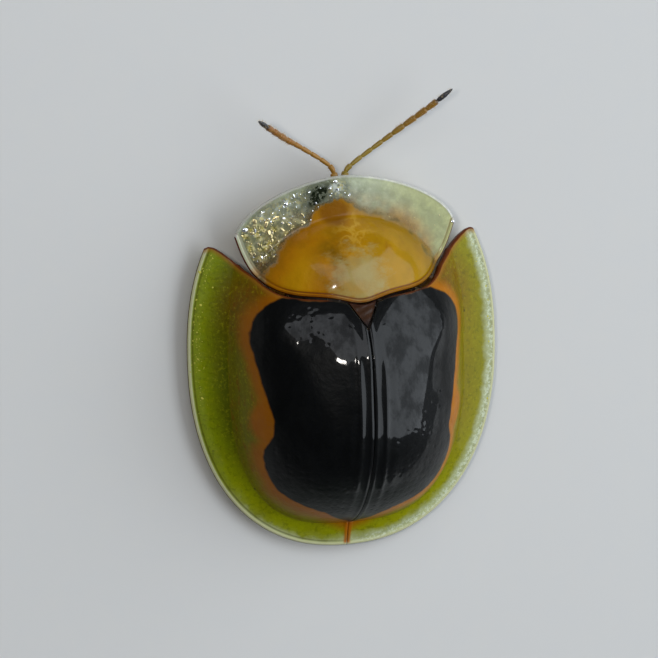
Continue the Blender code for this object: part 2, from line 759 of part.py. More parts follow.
def leg_points(which, side):
    return [place(side * x, station, z) for x, station, z in LEGS[which]]


def femur(which, side, swell=0.0):
    hip, knee, _, _ = leg_points(which, side)
    return sweep([hip, hip.lerp(knee, 0.5), knee], FEMUR, 10, swell)


def tibia(which, side, swell=0.0):
    _, knee, ankle, _ = leg_points(which, side)
    bow = knee.lerp(ankle, 0.5) + Vector((0, 0, TIBIA_BOW))
    return sweep([knee, bow, ankle], TIBIA, 8, swell)


def tarsus(which, side):
    # Three broad joints, the third split in two lobes, a slim claw joint and two claws
    _, _, ankle, aim = leg_points(which, side)
    ahead = Vector((aim.x - ankle.x, aim.y - ankle.y, 0)).normalized()
    across = Vector((0, 0, 1)).cross(ahead)
    turn = Matrix.Rotation(math.atan2(ahead.y, ahead.x), 4, "Z")
    start = Vector((ankle.x, ankle.y, 0)) + FOOT_START * ahead

    def at(spot, lobe=1):
        along, sideways, z = spot
        return start + ahead * along + across * lobe * sideways + Vector((0, 0, z))

    stem = sweep([ankle] + [at(spot) for spot in STEM_PATH], TARSUS_STEM, 8)
    pieces = [sweep([at(spot) for spot in CLAW_JOINT_PATH], CLAW_JOINT, 6)]
    pieces += [ellipsoid(at(spot), half, 10, 5, turn) for spot, half in PADS]
    spot, half = LOBE
    for lobe in (1, -1):
        pieces.append(ellipsoid(at(spot, lobe), half, 10, 5, turn))
        pieces.append(sweep([at(point, lobe) for point in CLAW_PATH], CLAW, 5))
    return flattened(joined(stem, pieces), 0.0)


# The whole beetle

def group(name, parent=None):
    empty = bpy.data.objects.new(name, None)
    empty.parent = parent
    bpy.context.scene.collection.objects.link(empty)
    return empty


def add_shield(parent):
    for name, side in SIDES.items():
        root = place(0, SCUTELLUM_TIP, EDGE_HEIGHT)
        add_node("elytron_" + name, elytron(side), "disc_black", root, parent)
    root = place(0, collar_rear(0), EDGE_HEIGHT)
    add_node("scutellum", scutellum(), "scutellum_brown", root, parent)
    root = place(0, HUMP_STATION, EDGE_HEIGHT)
    add_node("pronotum", pronotum(), "pronotum_amber", root, parent)


def add_trunk(parent):
    for which, name in THORAX.items():
        (_, station, z), _ = COXAE[which]
        add_node(name, thorax(which), "belly_dark", place(0, station, z), parent)
    root = place(0, META_REAR, BELLY_HEIGHT)
    add_node("abdomen", trunk_body(abdomen_stations()), "belly_dark", root, parent)


def add_legs(parent):
    trunk = [tool for which in THORAX for tool in thorax_clearance(which)]
    trunk.append(trunk_body(abdomen_stations(), GAP))
    for which in LEGS:
        for name, side in SIDES.items():
            hip, knee, ankle, _ = leg_points(which, side)
            stem = "leg_" + which + "_" + name
            thigh = clear_of(femur(which, side), trunk)
            shin = clear_of(tibia(which, side), [femur(which, side, GAP)])
            foot = clear_of(tarsus(which, side), [tibia(which, side, GAP)])
            add_node(stem + "_femur", thigh, "leg_yellow", hip, parent)
            add_node(stem + "_tibia", shin, "leg_yellow", knee, parent)
            add_node(stem + "_tarsus", foot, "leg_yellow", ankle, parent)


def add_head(parent):
    neck, _, _, neck_z = HEAD_SECTIONS[0]
    skull = joined(capsule(), face_plates())
    add_node("head", skull, "belly_dark", place(0, neck, neck_z), parent)
    add_node("mouthparts", mouthparts(), "leg_yellow", place(*MOUTH_BASE[0]), parent)
    for name, side in SIDES.items():
        x, station, z = EYE_CENTRE
        add_node("eye_" + name, eye(side), "eye_black", place(side * x, station, z), parent)
        root = place(*ANTENNA_PATHS[name][0])
        for part, (first, last) in LENGTHS.items():
            bm = antenna_length(name, first, last)
            if part == "scape":
                bm = clear_of(bm, head_clearance())
            add_node("antenna_" + name + "_" + part, bm, "antenna_yellow", root, parent)


def build():
    for obj in list(bpy.data.objects):
        bpy.data.objects.remove(obj)
    beetle = group("tortoise_beetle")
    beetle.location = (0, OVERALL_LENGTH / 2 * MM, 0)
    add_shield(group("shield", beetle))
    add_trunk(group("trunk", beetle))
    add_legs(group("legs", beetle))
    add_head(group("head_group", beetle))


build()
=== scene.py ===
# Tortoise beetle at life size: the looks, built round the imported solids.
# Lengths below are in millimetres. A station is measured forward from the tip of the elytra.

import math

import bmesh
import bpy
import numpy as np
from mathutils import Matrix, Vector


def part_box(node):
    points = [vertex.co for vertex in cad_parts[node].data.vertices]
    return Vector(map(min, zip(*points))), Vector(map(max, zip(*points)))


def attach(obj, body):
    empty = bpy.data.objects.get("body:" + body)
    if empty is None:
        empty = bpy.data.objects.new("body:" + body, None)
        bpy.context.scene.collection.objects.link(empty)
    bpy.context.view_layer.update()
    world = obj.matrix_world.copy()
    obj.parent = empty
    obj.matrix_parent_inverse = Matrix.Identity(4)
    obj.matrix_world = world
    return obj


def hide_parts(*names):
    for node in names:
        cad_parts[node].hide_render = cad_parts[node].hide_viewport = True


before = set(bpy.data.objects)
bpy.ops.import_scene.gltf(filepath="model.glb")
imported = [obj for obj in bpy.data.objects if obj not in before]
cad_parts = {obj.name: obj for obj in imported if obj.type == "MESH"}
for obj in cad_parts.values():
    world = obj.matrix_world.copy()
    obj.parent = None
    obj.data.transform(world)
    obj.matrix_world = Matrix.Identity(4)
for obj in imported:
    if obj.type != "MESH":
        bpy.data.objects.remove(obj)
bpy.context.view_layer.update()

mm = 0.001
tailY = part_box("elytron_left")[1].y / mm  # station 0
bodyWidth = 2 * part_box("elytron_left")[1].x / mm
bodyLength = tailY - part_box("pronotum")[0].y / mm
sides = {"left": 1, "right": -1}


# Shapes of the shield, as in the solids but for a narrower scutellum, and read at finer steps

elytra = {
    "dome": 1.76,  # summit over the edge of the margin
    "edge": 0.36,  # edge of the margin over the ground
    "widest": 3.1,  # station of the widest place
    "frontReach": 3.0,  # length of the oval ahead of it
    "ovalPower": 2.25,
    "summit": 2.3,  # station of the highest place
    "discShare": 0.76,  # half width of the raised disc over that of the whole
    "discPower": 0.6,
    "discTail": 0.40,  # station of the disc's rear end
    "tailPower": 2.8,
    "discFall": 2.8,  # how far ahead of the summit the disc comes down
    "fallPower": 2.6,
    "marginSlope": math.tan(math.radians(20)),
    "footBlend": 0.16,  # rounding between disc and margin
    "swellings": [(1.40, 3.62, 0.36, 0.13), (0.0, 3.30, 0.34, 0.05),
                  (1.52, 2.32, 0.22, 0.05)],  # x, station, radius and rise
    "scutellumTip": 3.62,
    "scutellumHalf": 0.23,
    "seam": 0.014,  # gap to the pronotum
    "collarEnd": 1.44,  # from this x outwards the front edge is free
    "freeEdge": [(1.60, 4.46), (1.74, 4.60), (1.86, 4.70), (1.96, 4.77), (2.04, 4.79),
                 (2.09, 4.765)],  # x and station
    "fanStation": 1.1,  # the rays start along the suture between here and the scutellum
    "split": 0.006,  # half the slit along the suture
}

collar = {
    "cornerX": bodyWidth * 0.355,
    "corner": 4.95,  # station of the two side corners
    "frontPower": 1.7,
    "rearPower": 6.5,
    "rearDepth": 0.86,  # how far the hind edge lies behind the corners
    "lobeDepth": 0.11,  # of the small lobe at the middle of the hind edge
    "lobeHalf": 0.34,
    "height": 0.28,  # of the corners over the edge of the elytra
    "rise": 0.05,  # from the corners to the front rim
    "humpHalf": 1.5,
    "humpStation": 4.0,  # middle of the hump
    "humpReach": 1.22,
    "humpHeight": 0.93,
    "humpPower": 0.85,
    "humpBlend": 0.06,
    "camber": 0.10,  # rise of the flat margin from its rim to the middle
}


def softMax(a, b, blend):
    return 0.5 * (a + b + np.sqrt((a - b) ** 2 + blend ** 2) - blend)


def signedPower(base, power):
    return np.sign(base) * np.abs(base) ** power


def bell(distance, width):
    return np.exp(-((distance / width) ** 2))


def smoothStep(value, low, high):
    t = np.clip((value - low) / (high - low), 0, 1)
    return t * t * (3 - 2 * t)


def ovalReach(s):
    return np.where(s < elytra["widest"], elytra["widest"], elytra["frontReach"])


def marginHalf(s):
    power = elytra["ovalPower"]
    along = np.minimum(1.0, np.abs(s - elytra["widest"]) / ovalReach(s))
    return bodyWidth / 2 * (1 - along ** power) ** (1 / power)


def fromEdge(x, s):
    power = elytra["ovalPower"]
    dx = np.abs(x) / (bodyWidth / 2)
    dy = np.abs(s - elytra["widest"]) / ovalReach(s)
    level = np.maximum(0.01, (dx ** power + dy ** power) ** (1 / power))
    return (1 - level) / level * np.hypot(x, s - elytra["widest"])


def discHalf(s):
    power = elytra["tailPower"]
    along = np.clip((elytra["widest"] - s) / (elytra["widest"] - elytra["discTail"]), 0, 1)
    rear = bodyWidth / 2 * (1 - along ** power) ** (1 / power)
    return elytra["discShare"] * np.where(s > elytra["widest"], marginHalf(s), rear)


def discLevel(x, s):
    across = 1 - (np.abs(x) / np.maximum(0.05, discHalf(s))) ** 2
    behind = np.maximum(0, elytra["summit"] - s) / (elytra["summit"] - elytra["discTail"])
    along = 1 - behind ** 2
    return np.where((across > 0) & (along > 0), across * along, np.minimum(across, along))


def elytraTop(x, s):
    ahead = np.maximum(0, s - elytra["summit"]) / elytra["discFall"]
    fall = 1 - np.minimum(1, ahead ** elytra["fallPower"])
    disc = elytra["dome"] * fall * signedPower(np.maximum(-1, discLevel(x, s)), elytra["discPower"])
    height = softMax(disc, elytra["marginSlope"] * fromEdge(x, s), elytra["footBlend"])
    for atX, atStation, radius, rise in elytra["swellings"]:
        height = height + rise * bell(np.hypot(np.abs(x) - atX, s - atStation), radius)
    return elytra["edge"] + height


def collarFront(x):
    share = np.minimum(1, np.abs(x) / collar["cornerX"])
    arc = (1 - share ** collar["frontPower"]) ** (1 / collar["frontPower"])
    return collar["corner"] + (bodyLength - collar["corner"]) * arc


def collarRear(x):
    share = np.minimum(1, np.abs(x) / collar["cornerX"])
    lobe = collar["lobeDepth"] * bell(x, collar["lobeHalf"])
    return collar["corner"] - collar["rearDepth"] * (1 - share ** collar["rearPower"]) - lobe


def humpFront(x):
    rear, front = collarRear(x), collarFront(x)
    arc = np.sqrt(np.maximum(0, 1 - (x / collar["humpHalf"]) ** 2))
    edge = collar["humpStation"] + collar["humpReach"] * arc
    return np.maximum(edge, rear + 0.3 * (front - rear))


def collarLevel(x, s):
    # 0 at the middle of the line between the corners, 1 on the front rim
    share = np.abs(x) / collar["cornerX"]
    ahead = np.maximum(0, s - collar["corner"]) / (bodyLength - collar["corner"])
    return (share ** collar["frontPower"] + ahead ** collar["frontPower"]) ** (1 / collar["frontPower"])


def pronotumTop(x, s):
    lift = collar["rise"] * (s - collar["corner"]) / (bodyLength - collar["corner"])
    away = (x / collar["humpHalf"]) ** 2 + ((s - collar["humpStation"]) / collar["humpReach"]) ** 2
    hump = collar["humpHeight"] * signedPower(1 - away, collar["humpPower"])
    camber = collar["camber"] * (1 - np.minimum(1, collarLevel(x, s)) ** 2)
    return elytra["edge"] + collar["height"] + lift + softMax(hump, camber, collar["humpBlend"])


def slopesOf(top, x, s, step):
    dx = (top(x + step, s) - top(x - step, s)) / (2 * step)
    ds = (top(x, s + step) - top(x, s - step)) / (2 * step)
    return dx, ds


def surfaceNormal(top, x, s):
    dx, ds = slopesOf(top, x, s, 0.01)
    normal = np.stack([-dx, ds, np.ones_like(dx)], axis=-1)  # y runs against the stations
    return normal / np.linalg.norm(normal, axis=-1, keepdims=True)


def at(x, s, z):
    # A place in the shared frame, from its x, station and height
    x, s, z = np.broadcast_arrays(np.asarray(x, float), s, z)
    return np.stack([x, tailY - s, z], axis=-1)


def underShield(top, x, s, clearance):
    # Height of a surface that keeps clear of the shield's inner wall
    shell, steepest = 0.10, 2.2
    dx, ds = slopesOf(top, x, s, 0.02)
    return top(x, s) - (shell + clearance) * np.minimum(np.sqrt(1 + dx * dx + ds * ds), steepest)


def spotOn(x, s, shape):
    # 1 at the middle of a soft spot, which is given as x, station, radius and width over length
    atX, atStation, radius, wide = shape
    return bell(np.hypot((x - atX) / wide, s - atStation), radius)


# Mesh tools

def platePart(top, bottom, **fields):
    # A closed plate from two grids of points; each field has one value for a point of the top
    rows, columns = top.shape[:2]
    index = np.arange(rows * columns).reshape(rows, columns)
    a, b = index[:-1, :-1].ravel(), index[1:, :-1].ravel()
    c, d = index[1:, 1:].ravel(), index[:-1, 1:].ravel()
    upper = np.stack([a, b, c, d], axis=1)
    under = np.stack([d, c, b, a], axis=1) + rows * columns
    ring = np.concatenate([index[:, 0], index[-1, 1:], index[-2::-1, -1], index[0, -2:0:-1]])
    after = np.roll(ring, -1)
    wall = np.stack([after, ring, ring + rows * columns, after + rows * columns], axis=1)
    points = np.concatenate([top.reshape(-1, 3), bottom.reshape(-1, 3)])
    doubled = {name: np.concatenate([v.ravel(), v.ravel()]) for name, v in fields.items()}
    onTop = np.concatenate([np.ones(rows * columns), np.zeros(rows * columns)])
    return {"points": points, "faces": np.concatenate([upper, under, wall]).tolist(),
            "fields": {**doubled, "onTop": onTop}}


def loftPart(rings, **fields):
    # A closed body through rings of points, with a fan at each end
    rings = np.asarray(rings, float)
    rows, count = rings.shape[:2]
    index = np.arange(rows * count).reshape(rows, count)
    after = np.roll(index, -1, axis=1)
    sidesOf = np.stack([index[:-1], after[:-1], after[1:], index[1:]], axis=-1).reshape(-1, 4)
    first, last = rows * count, rows * count + 1
    faces = sidesOf.tolist()
    faces += [[after[0, k], index[0, k], first] for k in range(count)]
    faces += [[index[-1, k], after[-1, k], last] for k in range(count)]
    points = np.concatenate([rings.reshape(-1, 3), [rings[0].mean(0)], [rings[-1].mean(0)]])
    made = {}
    for name, value in fields.items():
        value = np.broadcast_to(np.asarray(value, float), (rows,))
        made[name] = np.concatenate([np.repeat(value, count), [value[0], value[-1]]])
    return {"points": points, "faces": [[int(i) for i in f] for f in faces], "fields": made}


def ballPart(centre, half, around=32, levels=20, turn=None, **fields):
    angle = np.linspace(0, math.pi, levels + 2)[1:-1]
    spin = np.linspace(0, 2 * math.pi, around, endpoint=False)
    rings = np.stack([np.outer(np.sin(angle), np.cos(spin)), np.outer(np.sin(angle), np.sin(spin)),
                      np.outer(np.cos(angle), np.ones(around))], axis=-1) * np.asarray(half)
    if turn is not None:
        rings = rings @ np.asarray(turn, float)[:3, :3].T
    return loftPart(rings + np.asarray(centre), **fields)


def smoothPath(points, count):
    # Evenly spaced places on a smooth curve through the points
    fine = 24  # steps from one point to the next
    points = [np.asarray(p, float) for p in points]
    padded = [2 * points[0] - points[1]] + points + [2 * points[-1] - points[-2]]
    dense = []
    for a, b, c, d in zip(padded, padded[1:], padded[2:], padded[3:]):
        for t in np.arange(fine) / fine:
            dense.append(0.5 * (2 * b + (c - a) * t + (2 * a - 5 * b + 4 * c - d) * t ** 2
                                + (3 * b - a - 3 * c + d) * t ** 3))
    dense = np.array(dense + [points[-1]])
    reach = np.concatenate([[0], np.cumsum(np.linalg.norm(np.diff(dense, axis=0), axis=1))])
    goals = np.linspace(0, reach[-1], count)
    return np.stack([np.interp(goals, reach, dense[:, k]) for k in range(3)], axis=1)


def squareTo(ahead):
    # The two unit directions that stand square to a direction, one of them level
    across = np.cross(ahead, (0, 0, 1))
    across = across / np.linalg.norm(across)
    return across, np.cross(across, ahead)


def easedValues(shares, values, where):
    # Monotone cubic through the values, so that a section list reads as a smooth outline
    shares, values = np.asarray(shares, float), np.asarray(values, float)
    steps = np.diff(shares)
    slopes = np.diff(values) / steps
    tangents = np.concatenate([[slopes[0]], np.zeros(len(slopes) - 1), [slopes[-1]]])
    for k in range(1, len(slopes)):
        if slopes[k - 1] * slopes[k] > 0:
            tangents[k] = 2 * slopes[k - 1] * slopes[k] / (slopes[k - 1] + slopes[k])
    k = np.clip(np.searchsorted(shares, where, side="right") - 1, 0, len(steps) - 1)
    t = np.clip((where - shares[k]) / steps[k], 0, 1)
    value = (2 * t ** 3 - 3 * t ** 2 + 1) * values[k]
    value = value + (t ** 3 - 2 * t ** 2 + t) * steps[k] * tangents[k]
    value = value + (3 * t ** 2 - 2 * t ** 3) * values[k + 1]
    return value + (t ** 3 - t ** 2) * steps[k] * tangents[k + 1]


def limbPart(path, sections, rings, around, reliefOf=None, **fields):
    # A body along a curve; each section is (share of length, half width, half height)
    last = 120  # number of the last place along the path
    places = smoothPath(path, last + 1)
    shares = np.asarray([section[0] for section in sections])
    where = np.linspace(shares[0], shares[-1], rings)
    wide = easedValues(shares, [section[1] for section in sections], where)
    high = easedValues(shares, [section[2] for section in sections], where)
    spin = np.linspace(0, 2 * math.pi, around, endpoint=False)
    made = []
    for share, halfWidth, halfHeight in zip(where, wide, high):
        k = min(max(share, 0), 1) * last
        low = int(min(k, last - 1))
        centre = places[low] + (places[low + 1] - places[low]) * (k - low)
        ahead = places[min(low + 3, last)] - places[max(low - 2, 0)]
        side, lift = squareTo(ahead / np.linalg.norm(ahead))
        swell = 1.0 if reliefOf is None else 1 + reliefOf(share, spin)
        made.append(centre + np.outer(halfWidth * np.cos(spin) * swell, side)
                    + np.outer(halfHeight * np.sin(spin) * swell, lift))
    given = {name: (value(where) if callable(value) else value) for name, value in fields.items()}
    return loftPart(made, along=where, **given)


def joinParts(parts):
    names = sorted({name for part in parts for name in part["fields"]})
    points, faces, fields, start = [], [], {name: [] for name in names}, 0
    for part in parts:
        count = len(part["points"])
        points.append(part["points"])
        faces += [[i + start for i in face] for face in part["faces"]]
        for name in names:
            fields[name].append(part["fields"].get(name, np.zeros(count)))
        start += count
    return {"points": np.concatenate(points), "faces": faces,
            "fields": {name: np.concatenate(values) for name, values in fields.items()}}


def outwardMesh(name, part):
    # A mesh in metres with its doubles merged and its faces turned outwards
    near = 1e-6 * mm
    mesh = bpy.data.meshes.new(name)
    mesh.from_pydata((part["points"] * mm).tolist(), [], part["faces"])
    for field, values in part["fields"].items():
        attribute = mesh.attributes.new(field, "FLOAT", "POINT")
        attribute.data.foreach_set("value", values.astype(np.float32))
    bm = bmesh.new()
    bm.from_mesh(mesh)
    bmesh.ops.remove_doubles(bm, verts=bm.verts[:], dist=near)
    bmesh.ops.dissolve_degenerate(bm, edges=bm.edges[:], dist=near)
    bmesh.ops.recalc_face_normals(bm, faces=bm.faces[:])
    bm.to_mesh(mesh)
    bm.free()
    mesh.shade_smooth()
    return mesh


def newObject(name, mesh, material=None):
    obj = bpy.data.objects.new(name, mesh)
    bpy.context.scene.collection.objects.link(obj)
    if material:
        mesh.materials.clear()
        mesh.materials.append(material)
    return obj


def finishPiece(obj, nodes=()):
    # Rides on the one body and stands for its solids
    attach(obj, "root")
    if nodes:
        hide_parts(*nodes)
    return obj


# Geometry Nodes tools

halfTurn = 3.14  # radians


def newTree(name, inputs):
    tree = bpy.data.node_groups.new(name, "GeometryNodeTree")
    tree.interface.new_socket("Geometry", in_out="INPUT", socket_type="NodeSocketGeometry")
    for label, kind, value in inputs:
        socket = tree.interface.new_socket(label, in_out="INPUT", socket_type="NodeSocket" + kind)
        if value is not None:
            socket.default_value = value
    tree.interface.new_socket("Geometry", in_out="OUTPUT", socket_type="NodeSocketGeometry")
    return tree, tree.nodes.new("NodeGroupInput").outputs, tree.nodes.new("NodeGroupOutput")


def addNode(tree, kind, inputs=None, **settings):
    node = tree.nodes.new(kind)
    for name, value in settings.items():
        setattr(node, name, value)
    for name, value in (inputs or {}).items():
        socket = node.inputs[name]
        if isinstance(value, bpy.types.NodeSocket):
            tree.links.new(value, socket)
        else:
            socket.default_value = value
    return node


def runTree(obj, tree, values):
    # The evaluated mesh of obj under the tree; the modifier is gone afterwards
    modifier = obj.modifiers.new(tree.name, "NODES")
    modifier.node_group = tree
    for item in tree.interface.items_tree:
        if item.in_out == "INPUT" and item.name in values:
            modifier[item.identifier] = values[item.name]
    graph = bpy.context.evaluated_depsgraph_get()
    graph.update()
    mesh = bpy.data.meshes.new_from_object(obj.evaluated_get(graph))
    obj.modifiers.remove(modifier)
    return mesh


def fieldOf(tree, name):
    return addNode(tree, "GeometryNodeInputNamedAttribute", {"Name": name},
                   data_type="FLOAT").outputs["Attribute"]


def product(tree, a, b):
    return addNode(tree, "ShaderNodeMath", {0: a, 1: b}, operation="MULTIPLY").outputs[0]


def vectorOf(tree, x=0.0, y=0.0, z=0.0):
    return addNode(tree, "ShaderNodeCombineXYZ", {"X": x, "Y": y, "Z": z}).outputs[0]


def scaledVector(tree, vector, factor):
    return addNode(tree, "ShaderNodeVectorMath", {0: vector, "Scale": factor},
                   operation="SCALE").outputs[0]


def randomVector(tree, low, high, seed):
    return addNode(tree, "FunctionNodeRandomValue", {0: low, 1: high, "Seed": seed},
                   data_type="FLOAT_VECTOR").outputs[0]


def randomNumber(tree, low, high, seed):
    return addNode(tree, "FunctionNodeRandomValue", {2: low, 3: high, "Seed": seed},
                   data_type="FLOAT").outputs[1]


def leanTurn(tree, lean, spin, seed):
    # A random lean to any side, up to that angle, with a random turn about the axis
    back = product(tree, lean, -1.0)
    return randomVector(tree, vectorOf(tree, back, back, -spin), vectorOf(tree, lean, lean, spin), seed)


def smoothGeometry(tree, geometry):
    return addNode(tree, "GeometryNodeSetShadeSmooth", {"Geometry": geometry}).outputs["Geometry"]


def realGeometry(tree, instances):
    return addNode(tree, "GeometryNodeRealizeInstances", {"Geometry": instances}).outputs["Geometry"]


def endPainted(tree, given, result, geometry):
    painted = addNode(tree, "GeometryNodeSetMaterial", {
        "Geometry": geometry, "Material": given["Material"]})
    tree.links.new(painted.outputs["Geometry"], result.inputs["Geometry"])
    return tree


def pressPitsTree():
    # Presses a shallow pit into the upper face wherever a point of the pits object lies
    tree, given, result = newTree("pressPits", [
        ("Pits", "Object", None), ("Pit Radius", "Float", 0.00004), ("Pit Depth", "Float", 0.00001)])
    pits = addNode(tree, "GeometryNodeObjectInfo", {"Object": given["Pits"]},
                   transform_space="RELATIVE")
    near = addNode(tree, "GeometryNodeProximity", {"Geometry": pits.outputs["Geometry"]},
                   target_element="POINTS")
    hollow = addNode(tree, "ShaderNodeMapRange", {
        "Value": near.outputs["Distance"], "From Min": 0.0, "From Max": given["Pit Radius"],
        "To Min": given["Pit Depth"], "To Max": 0.0}, interpolation_type="SMOOTHSTEP")
    depth = product(tree, hollow.outputs["Result"], fieldOf(tree, "onTop"))
    normal = tree.nodes.new("GeometryNodeInputNormal").outputs["Normal"]
    offset = scaledVector(tree, normal, product(tree, depth, -1.0))
    moved = addNode(tree, "GeometryNodeSetPosition", {"Geometry": given["Geometry"], "Offset": offset})
    tree.links.new(moved.outputs["Geometry"], result.inputs["Geometry"])
    return tree


def growHairsTree():
    # Fine tapered hairs that stand on a surface and lean a little, each its own way
    tree, given, result = newTree("growHairs", [
        ("Density", "Float", 1e7), ("Length", "Float", 0.0001), ("Thickness", "Float", 0.000004),
        ("Lean", "Float", 0.5), ("Sweep Back", "Float", 0.0), ("Seed", "Int", 1),
        ("Material", "Material", None)])
    shortest, longest = 0.6, 1.15  # shares of the length
    dense = product(tree, fieldOf(tree, "hairy"), given["Density"])
    spots = addNode(tree, "GeometryNodeDistributePointsOnFaces", {
        "Mesh": given["Geometry"], "Density": dense, "Seed": given["Seed"]},
        distribute_method="RANDOM").outputs
    hair = addNode(tree, "GeometryNodeMeshCone", {
        "Vertices": 4, "Side Segments": 2, "Radius Top": 0.0, "Radius Bottom": given["Thickness"],
        "Depth": given["Length"]}, fill_type="TRIANGLE_FAN")
    toward = addNode(tree, "ShaderNodeVectorMath", {
        0: spots["Normal"], 1: vectorOf(tree, y=given["Sweep Back"])}, operation="ADD")
    stand = addNode(tree, "FunctionNodeAlignRotationToVector", {"Vector": toward.outputs[0]}, axis="Z")
    placed = addNode(tree, "GeometryNodeInstanceOnPoints", {
        "Points": spots["Points"], "Instance": hair.outputs["Mesh"],
        "Rotation": stand.outputs["Rotation"],
        "Scale": randomNumber(tree, shortest, longest, given["Seed"])})
    leaned = addNode(tree, "GeometryNodeRotateInstances", {
        "Instances": placed.outputs["Instances"],
        "Rotation": leanTurn(tree, given["Lean"], halfTurn, given["Seed"]), "Local Space": True})
    return endPainted(tree, given, result, realGeometry(tree, leaned.outputs["Instances"]))


def setCellsTree():
    # Small flat domes scattered over the part of a surface that the named field marks
    tree, given, result = newTree("setCells", [
        ("Field", "String", "cells"),
        ("Density", "Float", 1e8), ("Spacing", "Float", 0.00004), ("Radius", "Float", 0.00002),
        ("Flatness", "Float", 0.4), ("Tilt", "Float", 0.2), ("Seed", "Int", 1),
        ("Material", "Material", None)])
    seed = given["Seed"]
    spots = addNode(tree, "GeometryNodeDistributePointsOnFaces", {
        "Mesh": given["Geometry"], "Distance Min": given["Spacing"], "Density Max": given["Density"],
        "Density Factor": fieldOf(tree, given["Field"]), "Seed": seed},
        distribute_method="POISSON").outputs
    dome = addNode(tree, "GeometryNodeMeshUVSphere", {
        "Segments": 8, "Rings": 5, "Radius": given["Radius"]})
    low = addNode(tree, "GeometryNodeTransform", {
        "Geometry": dome.outputs["Mesh"], "Scale": vectorOf(tree, 1.0, 1.0, given["Flatness"])})
    # Most cells are about half the size, and a few are twice the size
    rare = addNode(tree, "ShaderNodeMath", {0: randomNumber(tree, 0.0, 1.0, seed), 1: 5.0},
                   operation="POWER")
    size = addNode(tree, "ShaderNodeMath", {0: rare.outputs[0], 1: 1.5, 2: 0.55},
                   operation="MULTIPLY_ADD")
    stretch = randomVector(tree, (0.6, 0.9, 0.9), (1.3, 2.2, 1.1), seed)
    spin = randomVector(tree, (0, 0, -halfTurn), (0, 0, halfTurn), seed)
    facing = addNode(tree, "FunctionNodeRotateRotation", {
        "Rotation": spots["Rotation"], "Rotate By": spin}, rotation_space="LOCAL")
    placed = addNode(tree, "GeometryNodeInstanceOnPoints", {
        "Points": spots["Points"], "Instance": low.outputs["Geometry"],
        "Rotation": facing.outputs["Rotation"],
        "Scale": scaledVector(tree, stretch, size.outputs[0])})
    tilted = addNode(tree, "GeometryNodeRotateInstances", {
        "Instances": placed.outputs["Instances"],
        "Rotation": leanTurn(tree, given["Tilt"], 0.0, seed), "Local Space": True})
    real = realGeometry(tree, tilted.outputs["Instances"])
    return endPainted(tree, given, result, smoothGeometry(tree, real))


def setFacetsTree():
    # One lens on each corner of the eye's ball
    tree, given, result = newTree("setFacets", [
        ("Lens Radius", "Float", 0.000012), ("Material", "Material", None)])
    lens = addNode(tree, "GeometryNodeMeshUVSphere", {
        "Segments": 6, "Rings": 4, "Radius": given["Lens Radius"]})
    normal = tree.nodes.new("GeometryNodeInputNormal").outputs["Normal"]
    stand = addNode(tree, "FunctionNodeAlignRotationToVector", {"Vector": normal}, axis="Z")
    placed = addNode(tree, "GeometryNodeInstanceOnPoints", {
        "Points": given["Geometry"], "Instance": lens.outputs["Mesh"],
        "Rotation": stand.outputs["Rotation"]})
    both = tree.nodes.new("GeometryNodeJoinGeometry")
    tree.links.new(given["Geometry"], both.inputs[0])
    tree.links.new(realGeometry(tree, placed.outputs["Instances"]), both.inputs[0])
    return endPainted(tree, given, result, smoothGeometry(tree, both.outputs["Geometry"]))


pressPits = pressPitsTree()
growHairs = growHairsTree()
setCells = setCellsTree()
setFacets = setFacetsTree()
print("tools ready")


# Paint tools: one material at a time, with short calls for its nodes

